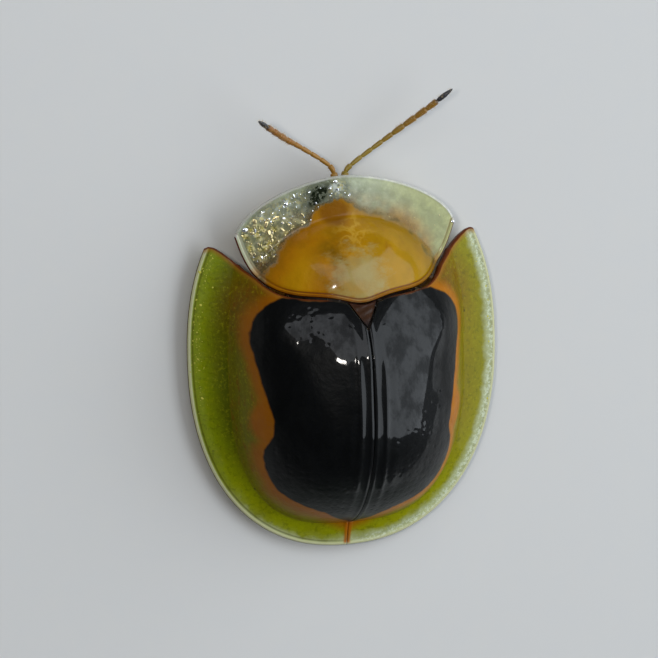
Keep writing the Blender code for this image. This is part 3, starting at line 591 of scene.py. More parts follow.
class Paint:
    def __init__(self, name):
        self.material = bpy.data.materials.new(name)
        self.material.use_nodes = True
        self.tree = self.material.node_tree
        self.shader = self.tree.nodes["Principled BSDF"]
        self.place = self.node("ShaderNodeTexCoord").outputs["Object"]

    def node(self, kind, inputs=None, **settings):
        return addNode(self.tree, kind, inputs, **settings)

    def finish(self, **inputs):
        # Sets the shader's own sockets, by names with their spaces left out
        for socket in self.shader.inputs:
            key = socket.name.replace(" ", "")
            key = key[0].lower() + key[1:]
            if key in inputs:
                value = inputs[key]
                if isinstance(value, bpy.types.NodeSocket):
                    self.tree.links.new(value, socket)
                else:
                    socket.default_value = value
        return self.material

    def field(self, name):
        return self.node("ShaderNodeAttribute", attribute_name=name).outputs["Fac"]

    def noise(self, size, detail=3.0, roughness=0.5, stretch=None):
        # Cloudy values from 0 to 1 with features of about that size in millimetres
        place = self.place
        if stretch:
            place = self.node("ShaderNodeMapping", {"Vector": place, "Scale": stretch}).outputs[0]
        return self.node("ShaderNodeTexNoise", {
            "Vector": place, "Scale": 1 / (size * mm), "Detail": detail,
            "Roughness": roughness}).outputs[0]

    def cells(self, size, feature="F1"):
        # Distance to the nearest of many centres, about that size apart
        return self.node("ShaderNodeTexVoronoi", {
            "Vector": self.place, "Scale": 1 / (size * mm), "Randomness": 1.0},
            feature=feature).outputs["Distance"]

    def shards(self, size):
        # One random value for each ragged cell of about that size
        wobble = (0.6 * size * mm,) * 3
        shift = self.node("ShaderNodeTexNoise", {
            "Vector": self.place, "Scale": 1 / (size * mm), "Detail": 3.0}).outputs["Color"]
        moved = self.node("ShaderNodeVectorMath", {0: shift, 1: wobble, 2: self.place},
                          operation="MULTIPLY_ADD").outputs[0]
        return self.node("ShaderNodeTexVoronoi", {
            "Vector": moved, "Scale": 1 / (size * mm), "Randomness": 1.0}).outputs["Color"]

    def maths(self, operation, a, b=0.0, clamp=False):
        return self.node("ShaderNodeMath", {0: a, 1: b}, operation=operation,
                         use_clamp=clamp).outputs[0]

    def times(self, a, b, clamp=False):
        return self.maths("MULTIPLY", a, b, clamp)

    def plus(self, a, b):
        return self.maths("ADD", a, b)

    def minus(self, a, b):
        return self.maths("SUBTRACT", a, b)

    def larger(self, a, b):
        return self.maths("MAXIMUM", a, b)

    def fade(self, value, low, high, start=0.0, end=1.0):
        return self.node("ShaderNodeMapRange", {
            "Value": value, "From Min": low, "From Max": high, "To Min": start, "To Max": end},
            interpolation_type="SMOOTHSTEP").outputs["Result"]

    def band(self, value, centre, half):
        # 1 at the centre, 0 further off than half
        return self.fade(self.maths("ABSOLUTE", self.minus(value, centre)), 0.0, half, 1.0, 0.0)

    def mix(self, share, a, b):
        return self.node("ShaderNodeMix", {0: share, 6: a, 7: b}, data_type="RGBA").outputs[2]

    def layers(self, colour, *covers):
        # Lays each cover, a share and a colour, over what lies below it
        for share, cover in covers:
            colour = self.mix(share, colour, cover)
        return colour

    def relief(self, *bumps):
        # Bumps laid over each other, each a height and a depth in millimetres
        given = {"Strength": 1.0}
        for height, depth in bumps:
            given.update({"Height": height, "Distance": depth * mm})
            given["Normal"] = self.node("ShaderNodeBump", given).outputs["Normal"]
        return given["Normal"]


def rgb(red, green, blue):
    # A colour given as it looks on screen, 0 to 255
    def light(value):
        value = value / 255
        return value / 12.92 if value <= 0.04045 else ((value + 0.055) / 1.055) ** 2.4
    return (light(red), light(green), light(blue), 1.0)


# Flecks: bright cells that lie in the clear cuticle, each tilted its own way

fleck = {
    "flatness": 0.14,  # height over half width
    "tilt": 0.26,  # radians
    "gold": (rgb(222, 190, 90), rgb(246, 238, 206), 0.24, 0.85),  # two tones, roughness and metal
    "pale": (rgb(226, 232, 240), rgb(250, 250, 246), 0.14, 0.85),
    "olive": (rgb(176, 176, 30), rgb(214, 206, 90), 0.5, 0.3),
}


def fleckPaint(kind):
    paint = Paint(kind + "Fleck")
    colour, paler, roughness, metallic = fleck[kind]
    return paint.finish(baseColor=paint.mix(paint.noise(0.02, 2), colour, paler), roughness=roughness,
                        metallic=metallic)


def cellsPiece(name, source, field, material, density, radius, spacing, seed):
    # The flecks alone: the tree drops the surface that they are scattered over
    values = {"Field": field, "Density": density / mm ** 2, "Spacing": spacing * mm,
              "Radius": radius * mm, "Flatness": fleck["flatness"], "Tilt": fleck["tilt"],
              "Seed": seed, "Material": material}
    return newObject(name, runTree(source, setCells, values))


goldFleck = fleckPaint("gold")
paleFleck = fleckPaint("pale")
oliveFleck = fleckPaint("olive")


# Elytra

# Distances from a rim at which a plate has its last rows of points
rimSteps = np.array([0.10, 0.08, 0.062, 0.048, 0.036, 0.025, 0.016, 0.008, 0.003, 0.0])

elytron = {
    "rays": 210,
    "nearColumns": 13,  # beside the scutellum
    "innerColumns": 90,
    "marginColumns": 26,
    "gather": 0.92,  # how close the inner columns stand at the disc's foot
    "footFrom": 0.5,  # the foot lies between these shares of a ray
    "footTo": 0.93,
    "leastMargin": 0.15,  # from the foot to the rim
    "shell": 0.10,  # thickness
    "rimShell": 0.03,  # thickness at the rim
    "rimRound": 0.03,
    "rimBead": (0.034, 0.018, 0.012),  # distance from the rim, width and height
    "rimGroove": (0.085, 0.025, 0.008),
    "sutureBead": (0.045, 0.026, 0.012),
    "tongue": 0.011,  # how far the left one reaches past the middle, below
    "firstRidge": (0.20, 0.040, 0.018),
    "secondRidge": (0.36, 0.05, 0.005),
    "waves": 0.005,  # height
    "pits": {"rows": 11, "step": 0.125, "from": 0.7, "to": 3.95, "radius": 0.034, "depth": 0.0055,
             "firstShare": 0.14, "spread": 0.80,  # of the disc's half width
             "offRow": 0.012, "offStep": 0.02,
             "smoothStation": 2.9, "smoothReach": 0.75,
             "loose": 26, "looseAcross": (0.5, 1.45), "looseAlong": (3.45, 3.95)},
    "rightShifts": [(0.03, (1.40, 2.12, 0.20, 1)), (-0.06, (1.48, 1.70, 0.30, 1))],  # amount, spot
    "notch": (1.47, 2.22, 0.34, 0.55),  # orange patch in the side of the disc
    "fleckDensity": 520,  # for each square millimetre
    "fleckRadius": 0.012,
    "fleckSpacing": 0.030,
    "fleckBand": (0.13, 0.06),  # distance from the rim and width
    "rightFlecks": 0.25,  # share of the left side's
    "seed": 11,
    "leftVeil": 0.05,  # strength of the painted whitish reflection
    "rightVeil": 0.66,
    "sheen": 0.20,  # gloss of the margin
    "tones": {
        "left": (rgb(80, 86, 0), rgb(134, 148, 0)),  # inner and outer part of the margin; the left pair is painted darker as painted shade, the right pair paler as painted light
        "right": (rgb(136, 122, 0), rgb(142, 138, 10)),
        "rear": rgb(150, 154, 0),
        # Painted light: a lighter olive for the steep flank, which the lamps light less
        "steep": rgb(128, 116, 0),
        "streaks": rgb(122, 70, 0),
        "shoulder": rgb(120, 74, 4),
        "clouds": rgb(112, 108, 4),
        "grain": rgb(168, 166, 20),
        "specks": rgb(62, 60, 0),
        "dots": rgb(50, 44, 8),
        # Painted whitish reflection on the margin and at its rear, and painted highlight specks at the
        # right rim
        "veil": rgb(186, 194, 160),
        "rearVeil": rgb(200, 206, 150),
        "crust": rgb(226, 234, 206),
        "border": (rgb(158, 88, 0), rgb(196, 124, 4)),
        # Painted shade: a darker tone of the border on the left side
        "leftBorder": rgb(128, 72, 0),
        "groove": rgb(64, 60, 4),
        "bead": rgb(206, 206, 160),
        "rim": rgb(88, 70, 24),
        "tail": rgb(176, 100, 6),
        "base": rgb(160, 104, 30),
        "baseLine": rgb(104, 48, 12),
        "disc": (rgb(4, 5, 5), rgb(9, 10, 10)),
        # Painted reflection: the rear of the disc is a greenish dark
        "discRear": rgb(10, 18, 12),
    },
}

# Half outline of the black disc as (x, station), from the front at the suture round to the apex
blackOutline = [
    (0.0, 4.06), (0.8, 4.06), (1.16, 4.10), (1.28, 4.04), (1.41, 3.97), (1.52, 3.86), (1.60, 3.73),
    (1.63, 3.56), (1.62, 3.39), (1.57, 3.10), (1.52, 2.80), (1.44, 2.48), (1.39, 2.28), (1.38, 2.00),
    (1.43, 1.88), (1.48, 1.78), (1.48, 1.65), (1.45, 1.49), (1.39, 1.35), (1.31, 1.20), (1.22, 1.08),
    (1.11, 0.98), (0.99, 0.90), (0.86, 0.83), (0.71, 0.77), (0.53, 0.70), (0.25, 0.54), (0.0, 0.42),
]


def distanceTo(line, x, s):
    # Distance of each point to a line of (x, station) points
    line = np.asarray(line, float)
    best = np.full(np.shape(x), 1e9)
    for (x0, s0), (x1, s1) in zip(line, line[1:]):
        dx, ds = x1 - x0, s1 - s0
        t = np.clip(((x - x0) * dx + (s - s0) * ds) / max(1e-12, dx * dx + ds * ds), 0, 1)
        best = np.minimum(best, np.hypot(x - x0 - t * dx, s - s0 - t * ds))
    return best


def insideLine(line, x, s):
    inside = np.zeros(np.shape(x), bool)
    for (x0, s0), (x1, s1) in zip(line, line[1:] + line[:1]):
        if s0 == s1:
            continue
        crosses = (s0 > s) != (s1 > s)
        inside ^= crosses & (x < (x1 - x0) * (s - s0) / (s1 - s0) + x0)
    return inside


def signedDistance(line, x, s):
    # Positive inside the outline
    return np.where(insideLine(line, x, s), 1, -1) * distanceTo(line, x, s)


def baseEdge(x):
    # Front edge of an elytron: beside the scutellum, behind the pronotum, then free
    half, tip = elytra["scutellumHalf"], elytra["scutellumTip"]
    base = collarRear(half) - elytra["seam"]
    corners = [(elytra["collarEnd"], collarRear(elytra["collarEnd"]) - elytra["seam"])]
    corners += elytra["freeEdge"]
    free = np.interp(x, [c[0] for c in corners], [c[1] for c in corners])
    beside = tip + (base - tip) * x / half
    behind = collarRear(x) - elytra["seam"]
    return np.where(x < half, beside, np.where(x < elytra["collarEnd"], behind, free))


def marginWalk(count):
    # Evenly spaced (x, station) on the outer edge, from the shoulder back to the tip
    ahead = np.linspace(elytra["freeEdge"][-1][1], elytra["widest"], 400)
    turn = np.linspace(0, math.pi / 2, 900)[1:]
    behind = elytra["widest"] * (1 - np.sin(turn) ** (2 / elytra["ovalPower"]))
    s = np.concatenate([ahead, behind])
    x = marginHalf(s)
    reach = np.concatenate([[0], np.cumsum(np.hypot(np.diff(x), np.diff(s)))])
    goals = np.linspace(0, reach[-1], count)
    return np.interp(goals, reach, x), np.interp(goals, reach, s)


def rayPoint(down, edgeX, edgeS, share):
    # A place on the ray from the suture to the outer edge; the first rays follow the front edge
    shoulderX, shoulderS = elytra["freeEdge"][-1]
    tip = elytra["scutellumTip"]
    seam = tip + (elytra["fanStation"] - tip) * down
    chord = tip + (shoulderS - tip) * share
    bend = (1 - down) ** 4 * (baseEdge(share * shoulderX) - chord)
    s = seam + (edgeS - seam) * share + bend
    x = elytra["split"] + np.maximum(0, edgeX - elytra["split"]) * share
    return x, np.maximum(0, s)


def elytronPlan():
    # x and station of every grid point, its columns gathered at the disc's foot and at the rim
    count, gather = elytron["rays"], elytron["gather"]
    edgeX, edgeS = marginWalk(count)
    notch = elytra["scutellumHalf"] / elytra["freeEdge"][-1][0]
    tries = np.linspace(elytron["footFrom"], elytron["footTo"], 200)
    near = np.linspace(0, notch, elytron["nearColumns"] + 1)[:-1]
    turn = np.linspace(0, math.pi / 2, elytron["innerColumns"]) * gather
    xs, ss = [], []
    for k in range(count):
        down = k / (count - 1)
        above = discLevel(*rayPoint(down, edgeX[k], edgeS[k], tries)) > 0
        foot = tries[np.argmin(above)] if not above.all() else elytron["footTo"]
        x1, s1 = rayPoint(down, edgeX[k], edgeS[k], foot)
        margin = max(elytron["leastMargin"], math.hypot(edgeX[k] - x1, edgeS[k] - s1))
        rim = 1 - rimSteps / margin * (1 - foot)
        inner = notch + (foot - notch) * np.sin(turn) / math.sin(math.pi / 2 * gather)
        outer = np.linspace(foot, rim[0], elytron["marginColumns"] + 1)[1:-1]
        share = np.concatenate([near, inner, outer, rim])
        x, s = rayPoint(down, edgeX[k], edgeS[k], share)
        xs.append(x)
        ss.append(s)
    return np.array(xs), np.array(ss)


def ridge(distance, shape):
    centre, width, height = shape
    return height * bell(distance - centre, width)


def elytronRelief(x, s, rim):
    # Low forms of the surface: bead and groove at the rim, ridges beside the suture, soft waves
    onDisc = smoothStep(discLevel(x, s), 0.02, 0.3)
    lines = smoothStep(s, 0.5, 1.3) * smoothStep(3.5 - s, 0.0, 0.5)
    relief = ridge(rim, elytron["rimBead"]) - ridge(rim, elytron["rimGroove"])
    relief = relief + ridge(x, elytron["sutureBead"]) * smoothStep(s, 0.1, 0.6)
    relief = relief + (ridge(x, elytron["firstRidge"]) + ridge(x, elytron["secondRidge"])) * lines
    waves = np.sin(7.1 * x + 1.3 * s + 0.4) * np.sin(4.3 * s - 2.2 * x)
    waves = waves + 0.6 * np.sin(11.3 * x - 5.2 * s)
    return relief + elytron["waves"] * waves * onDisc


def pitPoints(side):
    # Rows of pits along the disc, each pit a little off its place; the middle is nearly smooth
    pits = elytron["pits"]
    rng = np.random.default_rng(elytron["seed"])
    spots = []
    for row in range(pits["rows"]):
        share = pits["firstShare"] + pits["spread"] * row / (pits["rows"] - 1)
        inner = 1 - float(smoothStep(share, 0.55, 0.9))
        for s in np.arange(pits["from"], pits["to"], pits["step"]):
            smooth = bell(s - pits["smoothStation"], pits["smoothReach"]) * inner
            x = float(share * discHalf(np.array(s))) + rng.normal(0, pits["offRow"])
            spot = (x, s + rng.normal(0, pits["offStep"]))
            if rng.random() > 1.15 * smooth:
                spots.append(spot)
    for _ in range(pits["loose"]):  # a second, looser lot near the shoulder
        spots.append((rng.uniform(*pits["looseAcross"]), rng.uniform(*pits["looseAlong"])))
    spots = np.array(spots)
    return at(side * spots[:, 0], spots[:, 1], elytraTop(spots[:, 0], spots[:, 1]))


def innerWall(shape, top, normal, rim, edge):
    # Rounds the upper edge, and gives the wall below the top, which thins towards the rim
    off = np.clip(shape["rimRound"] - edge, 0, shape["rimRound"])
    top[..., 2] -= shape["rimRound"] - np.sqrt(shape["rimRound"] ** 2 - off ** 2)
    wall = shape["rimShell"] + (shape["shell"] - shape["rimShell"]) * smoothStep(rim, 0, 0.3)
    return top - normal * wall[..., None]


def elytronPiece(name, side, material):
    x, s = elytronPlan()
    rim = distanceTo(list(zip(*marginWalk(500))), x, s)
    front = distanceTo(list(zip(x[0], s[0])), x, s)
    normal = surfaceNormal(elytraTop, x, s)
    top = at(x, s, elytraTop(x, s)) + normal * elytronRelief(x, s, rim)[..., None]
    bottom = innerWall(elytron, top, normal, rim, rim)
    for grid in (top, bottom):
        grid[..., 0] = np.maximum(grid[..., 0], elytra["split"])
    if side > 0:  # the left one has a tongue that closes the seam from below
        bottom[:, 0, 0] = -elytron["tongue"]
    for grid in (top, bottom):
        grid[..., 0] *= side
    black = signedDistance(blackOutline, x, s)
    if side < 0:  # the right edge of the disc runs straighter
        for shift, spot in elytron["rightShifts"]:
            black = black + shift * spotOn(x, s, spot)
    fleckCentre, fleckWidth = elytron["fleckBand"]
    cells = bell(rim - fleckCentre, fleckWidth) * smoothStep(s, 1.6, 3.0)
    cells = cells * smoothStep(front, 0.05, 0.15)
    part = platePart(top, bottom, black=black, rim=rim, front=front, station=s, middle=x,
                     notch=spotOn(x, s, elytron["notch"]),
                     left=smoothStep(side * x, -0.9, 0.9),  # the halves part in tone towards the shoulders, the left painted darker as painted shade, the right paler as painted light
                     steep=smoothStep(1 - normal[..., 2], 0.12, 0.4),
                     cells=cells * (1.0 if side > 0 else elytron["rightFlecks"]))
    made = newObject("scratchElytron", outwardMesh("scratchElytron", part))
    pits = bpy.data.meshes.new("pits")
    pits.from_pydata((pitPoints(side) * mm).tolist(), [], [])
    pitObject = newObject("pits", pits)
    values = {"Pits": pitObject, "Pit Radius": elytron["pits"]["radius"] * mm,
              "Pit Depth": elytron["pits"]["depth"] * mm}
    piece = newObject(name, runTree(made, pressPits, values), material)
    piece.data.shade_smooth()
    bpy.data.objects.remove(made)
    bpy.data.objects.remove(pitObject)
    return piece


def marginTone(paint, outside):
    # The margin from its cloudy ground up to the lines at its edges
    tones = elytron["tones"]
    rim, front, left = paint.field("rim"), paint.field("front"), paint.field("left")
    station, steep = paint.field("station"), paint.field("steep")
    grain = paint.noise(0.05, 4, 0.7)
    # Painted shade and painted light: the left half of the margin is darker, the right paler
    inner = paint.mix(left, tones["right"][0], tones["left"][0])
    outer = paint.mix(left, tones["right"][1], tones["left"][1])
    streaks = paint.fade(paint.noise(0.12, 5, 0.7, (1, 0.35, 1)), 0.50, 0.66, 0.0, 0.6)
    shoulder = paint.times(paint.fade(front, 0.15, 1.3, 0.8, 0.0), paint.fade(outside, 0.75, 0.1))
    margin = paint.layers(
        paint.mix(paint.fade(rim, 0.10, 0.55), outer, inner),
        (paint.fade(station, 2.0, 0.5, 0.0, 0.75), tones["rear"]),
        # Painted light on the steep flank of the disc
        (paint.times(steep, 0.5), tones["steep"]),
        (paint.times(streaks, steep), tones["streaks"]),
        (shoulder, tones["shoulder"]),
        (paint.fade(paint.noise(0.6, 4), 0.45, 0.75, 0.0, 0.35), tones["clouds"]),
        (paint.fade(grain, 0.50, 0.70, 0.0, 0.40), tones["grain"]),
        (paint.fade(paint.noise(0.07, 5, 0.7), 0.50, 0.34, 0.0, 0.35), tones["specks"]),
        (paint.fade(paint.cells(0.45), 0.035, 0.07, 0.8, 0.0), tones["dots"]))
    # Painted whitish reflection on the outer third, with a wavy inner edge, strong at the right, faint
    # at the left and again at the rear, and painted highlight specks along the right rim
    reach = paint.plus(rim, paint.times(paint.noise(0.22, 5, 0.6), 0.22))
    veil = paint.times(paint.fade(reach, 0.22, 0.36, 1.0, 0.0),
                       paint.fade(left, 0.0, 1.0, elytron["rightVeil"], elytron["leftVeil"]))
    rearVeil = paint.times(paint.fade(reach, 0.16, 0.26, 0.9, 0.0), paint.fade(station, 1.3, 0.3))
    crust = paint.times(paint.fade(rim, 0.20, 0.06), paint.fade(left, 0.60, 0.1))
    crust = paint.times(crust, paint.fade(paint.noise(0.06, 5, 0.75), 0.46, 0.58, 0.0, 0.8))
    # Orange border round the black disc, wider at the rear and in the notch
    border = paint.mix(paint.noise(0.2, 4), *tones["border"])
    # Painted shade: the border is darker on the left
    border = paint.mix(paint.times(left, 0.6), border, tones["leftBorder"])
    borderEnd = paint.fade(station, 1.6, 0.7, 0.19, 0.27)
    patch = paint.fade(paint.plus(paint.field("notch"), paint.times(grain, 0.3)), 0.35, 0.75)
    # The groove's dark line is real; painted shade makes it strong on the left and faint on the right
    groove = paint.times(paint.band(rim, 0.075, 0.025), paint.fade(left, 0.2, 0.9, 0.08, 0.6))
    tail = paint.times(paint.fade(paint.field("middle"), 0.03, 0.07, 1.0, 0.0),
                       paint.fade(rim, 0.02, 0.06))
    return paint.layers(
        margin,
        (veil, tones["veil"]),
        (rearVeil, tones["rearVeil"]),
        (crust, tones["crust"]),
        (paint.fade(outside, 0.04, borderEnd, 0.97, 0.0), border),
        (patch, border),
        (groove, tones["groove"]),
        (paint.fade(rim, 0.036, 0.06, 1.0, 0.0), tones["bead"]),
        (paint.fade(rim, 0.004, 0.010, 1.0, 0.0), tones["rim"]),
        (paint.times(tail, 0.9), tones["tail"]),
        (paint.fade(front, 0.02, 0.10, 0.7, 0.0), tones["base"]),
        (paint.fade(front, 0.014, 0.028, 1.0, 0.0), tones["baseLine"]))


def elytronPaint():
    paint, tones = Paint("elytronCuticle"), elytron["tones"]
    station, steep, middle = paint.field("station"), paint.field("steep"), paint.field("middle")
    wander = paint.times(paint.minus(paint.noise(0.35, 4), 0.5), 0.07)
    outside = paint.minus(paint.times(paint.field("black"), -1.0), wander)
    onBlack = paint.fade(outside, -0.015, 0.02, 1.0, 0.0)
    offBlack = paint.fade(onBlack, 0.0, 1.0, 1.0, 0.0)
    disc = paint.mix(paint.noise(0.3, 3), *tones["disc"])
    # Painted reflection: the rear of the disc is painted greenish
    disc = paint.mix(paint.fade(station, 1.5, 0.8), disc, tones["discRear"])
    relief = paint.relief(
        (paint.noise(0.03, 3, 0.6), 0.0006),
        (paint.noise(0.09, 4, 0.6), 0.0013),
        (paint.noise(0.26, 5, 0.6), 0.015),
        (paint.times(paint.cells(0.055, "SMOOTH_F1"), offBlack), 0.002))
    # Gloss: full on top of the black disc and marbled there, weaker on its flanks and on the margin
    marble = paint.fade(paint.noise(0.24, 7, 0.68, (1, 0.6, 1)), 0.38, 0.60, 0.36, 1.0)
    marble = paint.larger(marble, paint.fade(middle, 0.27, 0.20))
    gloss = paint.times(marble, paint.fade(steep, 0.12, 0.7, 1.0, 0.22))
    gloss = paint.times(gloss, paint.fade(station, 1.5, 0.7, 1.0, 0.45))
    sheen = paint.times(paint.fade(onBlack, 0.0, 1.0, elytron["sheen"], 0.0),
                        paint.fade(steep, 0.1, 0.5, 1.0, 0.2))
    return paint.finish(baseColor=paint.mix(onBlack, marginTone(paint, outside), disc), roughness=0.4,
                        normal=relief, specularIORLevel=0.10,
                        coatWeight=paint.plus(paint.times(onBlack, gloss), sheen),
                        coatRoughness=0.045, coatIOR=1.35, subsurfaceWeight=0.08,
                        subsurfaceRadius=(0.08, 0.07, 0.02), subsurfaceScale=0.4 * mm)


elytronCuticle = elytronPaint()
for sideName, sign in sides.items():
    name = "elytron" + sideName.capitalize()
    piece = elytronPiece(name, sign, elytronCuticle)
    flecks = cellsPiece(name + "GoldCells", piece, "cells", oliveFleck, elytron["fleckDensity"],
                        elytron["fleckRadius"], elytron["fleckSpacing"], elytron["seed"])
    finishPiece(flecks)
    finishPiece(piece, ["elytron_" + sideName])
print("elytra ready")


# Pronotum and scutellum

pronotum = {
    "columns": 120,  # from the middle to each corner
    "hindSteps": (0, .003, .008, .014, .021, .029, .038, .048, .058, .069, .081, .094, .11),
    "humpRows": 56,
    "marginRows": 30,
    "fullLength": 0.6,  # shorter columns have their first and last rows drawn together
    "shell": 0.10,
    "rimShell": 0.03,
    "rimRound": 0.025,
    "rimBead": (0.026, 0.014, 0.006),
    "hindBead": (0.036, 0.017, 0.014),
    "hindGroove": (0.074, 0.016, 0.010),
    "waves": 0.006,
    # A patch of painted glints on the clear rim beside the head
    "frontFoil": (0.14, 5.64, 0.17, 1),  # spots, each as x, station, radius and width over length
    "brow": (0.20, 5.27, 0.22, 1.25),  # the head, seen through the cuticle
    "eyeShades": [(1.3, (0.38, 5.60, 0.15, 1)), (1.0, (0.52, 5.42, 0.16, 1))],
    # A darker band on the left of the amber: painted shade
    "dusk": (0.34, 4.60, 0.46, 0.60),
    "curls": (-0.05, 5.02, 0.26, 1),
    "paleSpot": (4.34, 0.50, 0.54),  # station, half width and half length of a thin, paler spot: a painted reflection
    "goldDensity": 900,  # flecks for each square millimetre
    "goldRadius": 0.017,
    "goldSpacing": 0.026,
    "paleDensity": 700,
    "paleRadius": 0.016,
    "paleSpacing": 0.036,
    "glints": [(1.57, 5.07, 0.048), (0.93, 5.43, 0.036), (0.15, 5.72, 0.034), (-1.695, 4.96, 0.030),
               (0.24, 5.62, 0.024), (1.20, 5.22, 0.022)],  # x, station and radius of the large ones
    "seed": 5,
    "tones": {
        "amber": (rgb(192, 124, 0), rgb(168, 128, 0)),  # left and right
        "clouds": rgb(190, 140, 4),
        "shades": rgb(140, 84, 0),
        "warm": rgb(204, 152, 0),
        # Painted shade: the darker band on the amber
        "dusk": rgb(100, 72, 0),
        # Painted reflection: the pale patch on the amber
        "pale": rgb(172, 156, 98),
        "curls": rgb(214, 172, 62),
        "brow": rgb(126, 76, 0),
        "amberEdge": rgb(128, 88, 0),
        "glass": (rgb(186, 196, 156), rgb(218, 224, 196)),
        "rightGlass": rgb(188, 190, 118),
        "blush": rgb(206, 156, 84),
        # Painted glints among the gold cells: the bright gold and silver ones and the cream ones
        "brightFoil": (rgb(196, 178, 72), rgb(224, 230, 220)),  # gold and silver
        "dullFoil": (rgb(96, 92, 30), rgb(164, 168, 148)),
        "creamFoil": rgb(236, 224, 160),
        "darkFoil": rgb(60, 62, 36),
        # Dark of the eye seen through the rim, with painted shade beneath the rim
        "eye": rgb(24, 30, 14),
        "rim": rgb(226, 226, 214),
        "outline": rgb(96, 84, 24),
        "groove": rgb(104, 42, 6),
        "bead": rgb(136, 72, 12),
        "hindLine": rgb(92, 32, 8),
    },
}

# Half outline of the amber disc as (x, station), from its front at the middle to the hind edge
amberOutline = [
    (0.0, 5.24), (0.20, 5.22), (0.43, 5.17), (0.55, 5.11), (0.68, 5.06), (0.82, 5.01), (0.93, 4.92),
    (1.02, 4.82), (1.09, 4.70), (1.16, 4.58), (1.26, 4.49), (1.33, 4.37), (1.34, 4.16), (1.25, 3.9),
    (0.0, 3.8),
]


def collarRows(x):
    # Stations of one column, close together at the hind edge and at the rim
    rear, front, foot = float(collarRear(x)), float(collarFront(x)), float(humpFront(x))
    whole = min(1.0, (front - rear) / pronotum["fullLength"])
    hind = rear + whole * np.array(pronotum["hindSteps"])
    rim = front - whole * rimSteps
    foot = min(max(foot, hind[-1] + 0.01 * whole), rim[0] - 0.01 * whole)
    hump = hind[-1] + (foot - hind[-1]) * np.linspace(0, 1, pronotum["humpRows"] + 1)[1:]
    margin = foot + (rim[0] - foot) * np.linspace(0, 1, pronotum["marginRows"] + 1)[1:-1]
    return np.concatenate([hind, hump, margin, rim])


def pronotumPart():
    count = pronotum["columns"]
    columns = collar["cornerX"] * np.sin(math.pi / 2 * np.arange(-count, count + 1) / count)
    s = np.array([collarRows(x) for x in columns])
    x = np.repeat(columns[:, None], s.shape[1], axis=1)
    across = np.linspace(-collar["cornerX"], collar["cornerX"], 500)
    rim = distanceTo(list(zip(across, collarFront(across))), x, s)
    hind = distanceTo(list(zip(across, collarRear(across))), x, s)
    amber = signedDistance(amberOutline, np.abs(x), s)
    normal = surfaceNormal(pronotumTop, x, s)
    sideways = 1 - 0.75 * smoothStep(np.abs(x), 1.0, 1.4)
    relief = ridge(rim, pronotum["rimBead"]) + ridge(hind, pronotum["hindBead"]) * sideways
    relief = relief - ridge(hind, pronotum["hindGroove"])
    waves = np.sin(5.3 * x + 0.7) * np.sin(6.1 * s) + 0.7 * np.sin(9.7 * x + 4.1 * s)
    relief = relief + pronotum["waves"] * waves * smoothStep(amber, 0, 0.3)
    top = at(x, s, pronotumTop(x, s)) + normal * relief[..., None]
    bottom = innerWall(pronotum, top, normal, rim, np.minimum(rim, hind))
    clear = smoothStep(-amber, 0.0, 0.06) * smoothStep(rim, 0.05, 0.10) * smoothStep(hind, 0.08, 0.14)
    frontFoil = spotOn(x, s, pronotum["frontFoil"])
    # The gold cells and their painted glints lie on the left side only
    left = smoothStep(x, 0.35, 1.0) + frontFoil
    knots = np.sin(17 * x + 3 * np.sin(8 * s)) * np.sin(19 * s + 2 * np.sin(11 * x))
    knots = smoothStep(knots, -0.5, 0.6)
    # Towards the front rim the painted glints turn silver-white, and the flecks turn pale
    silver = smoothStep(s, 5.05, 5.35)
    foil = left * (0.45 + 0.55 * knots) * smoothStep(s, 4.3, 4.8)
    cells = clear * (0.012 + 0.9 * left * (0.12 + 0.88 * knots))
    paleStation, paleHalf, paleReach = pronotum["paleSpot"]
    return platePart(top, bottom, amber=amber, rim=rim, hind=hind, across=x, silver=silver,
                     brow=spotOn(x, s, pronotum["brow"]),
                     pale=1 - np.hypot(x / paleHalf, (s - paleStation) / paleReach),
                     dusk=spotOn(x, s, pronotum["dusk"]),
                     curls=spotOn(x, s, pronotum["curls"]),
                     foil=clear * np.maximum(foil, frontFoil),
                     eyeShade=sum(depth * spotOn(x, s, spot) for depth, spot in pronotum["eyeShades"]),
                     goldCells=cells * (1 - 0.92 * silver), paleCells=cells * (0.3 + 0.7 * silver))


def glintPart():
    # A few large bright cells, round enough to catch a lamp from most sides
    parts = []
    for x, s, radius in pronotum["glints"]:
        centre = at(x, s, float(pronotumTop(np.array(x), np.array(s))))
        parts.append(ballPart(centre, (radius, radius * 0.8, radius * 0.4), 24, 14))
    return joinParts(parts)


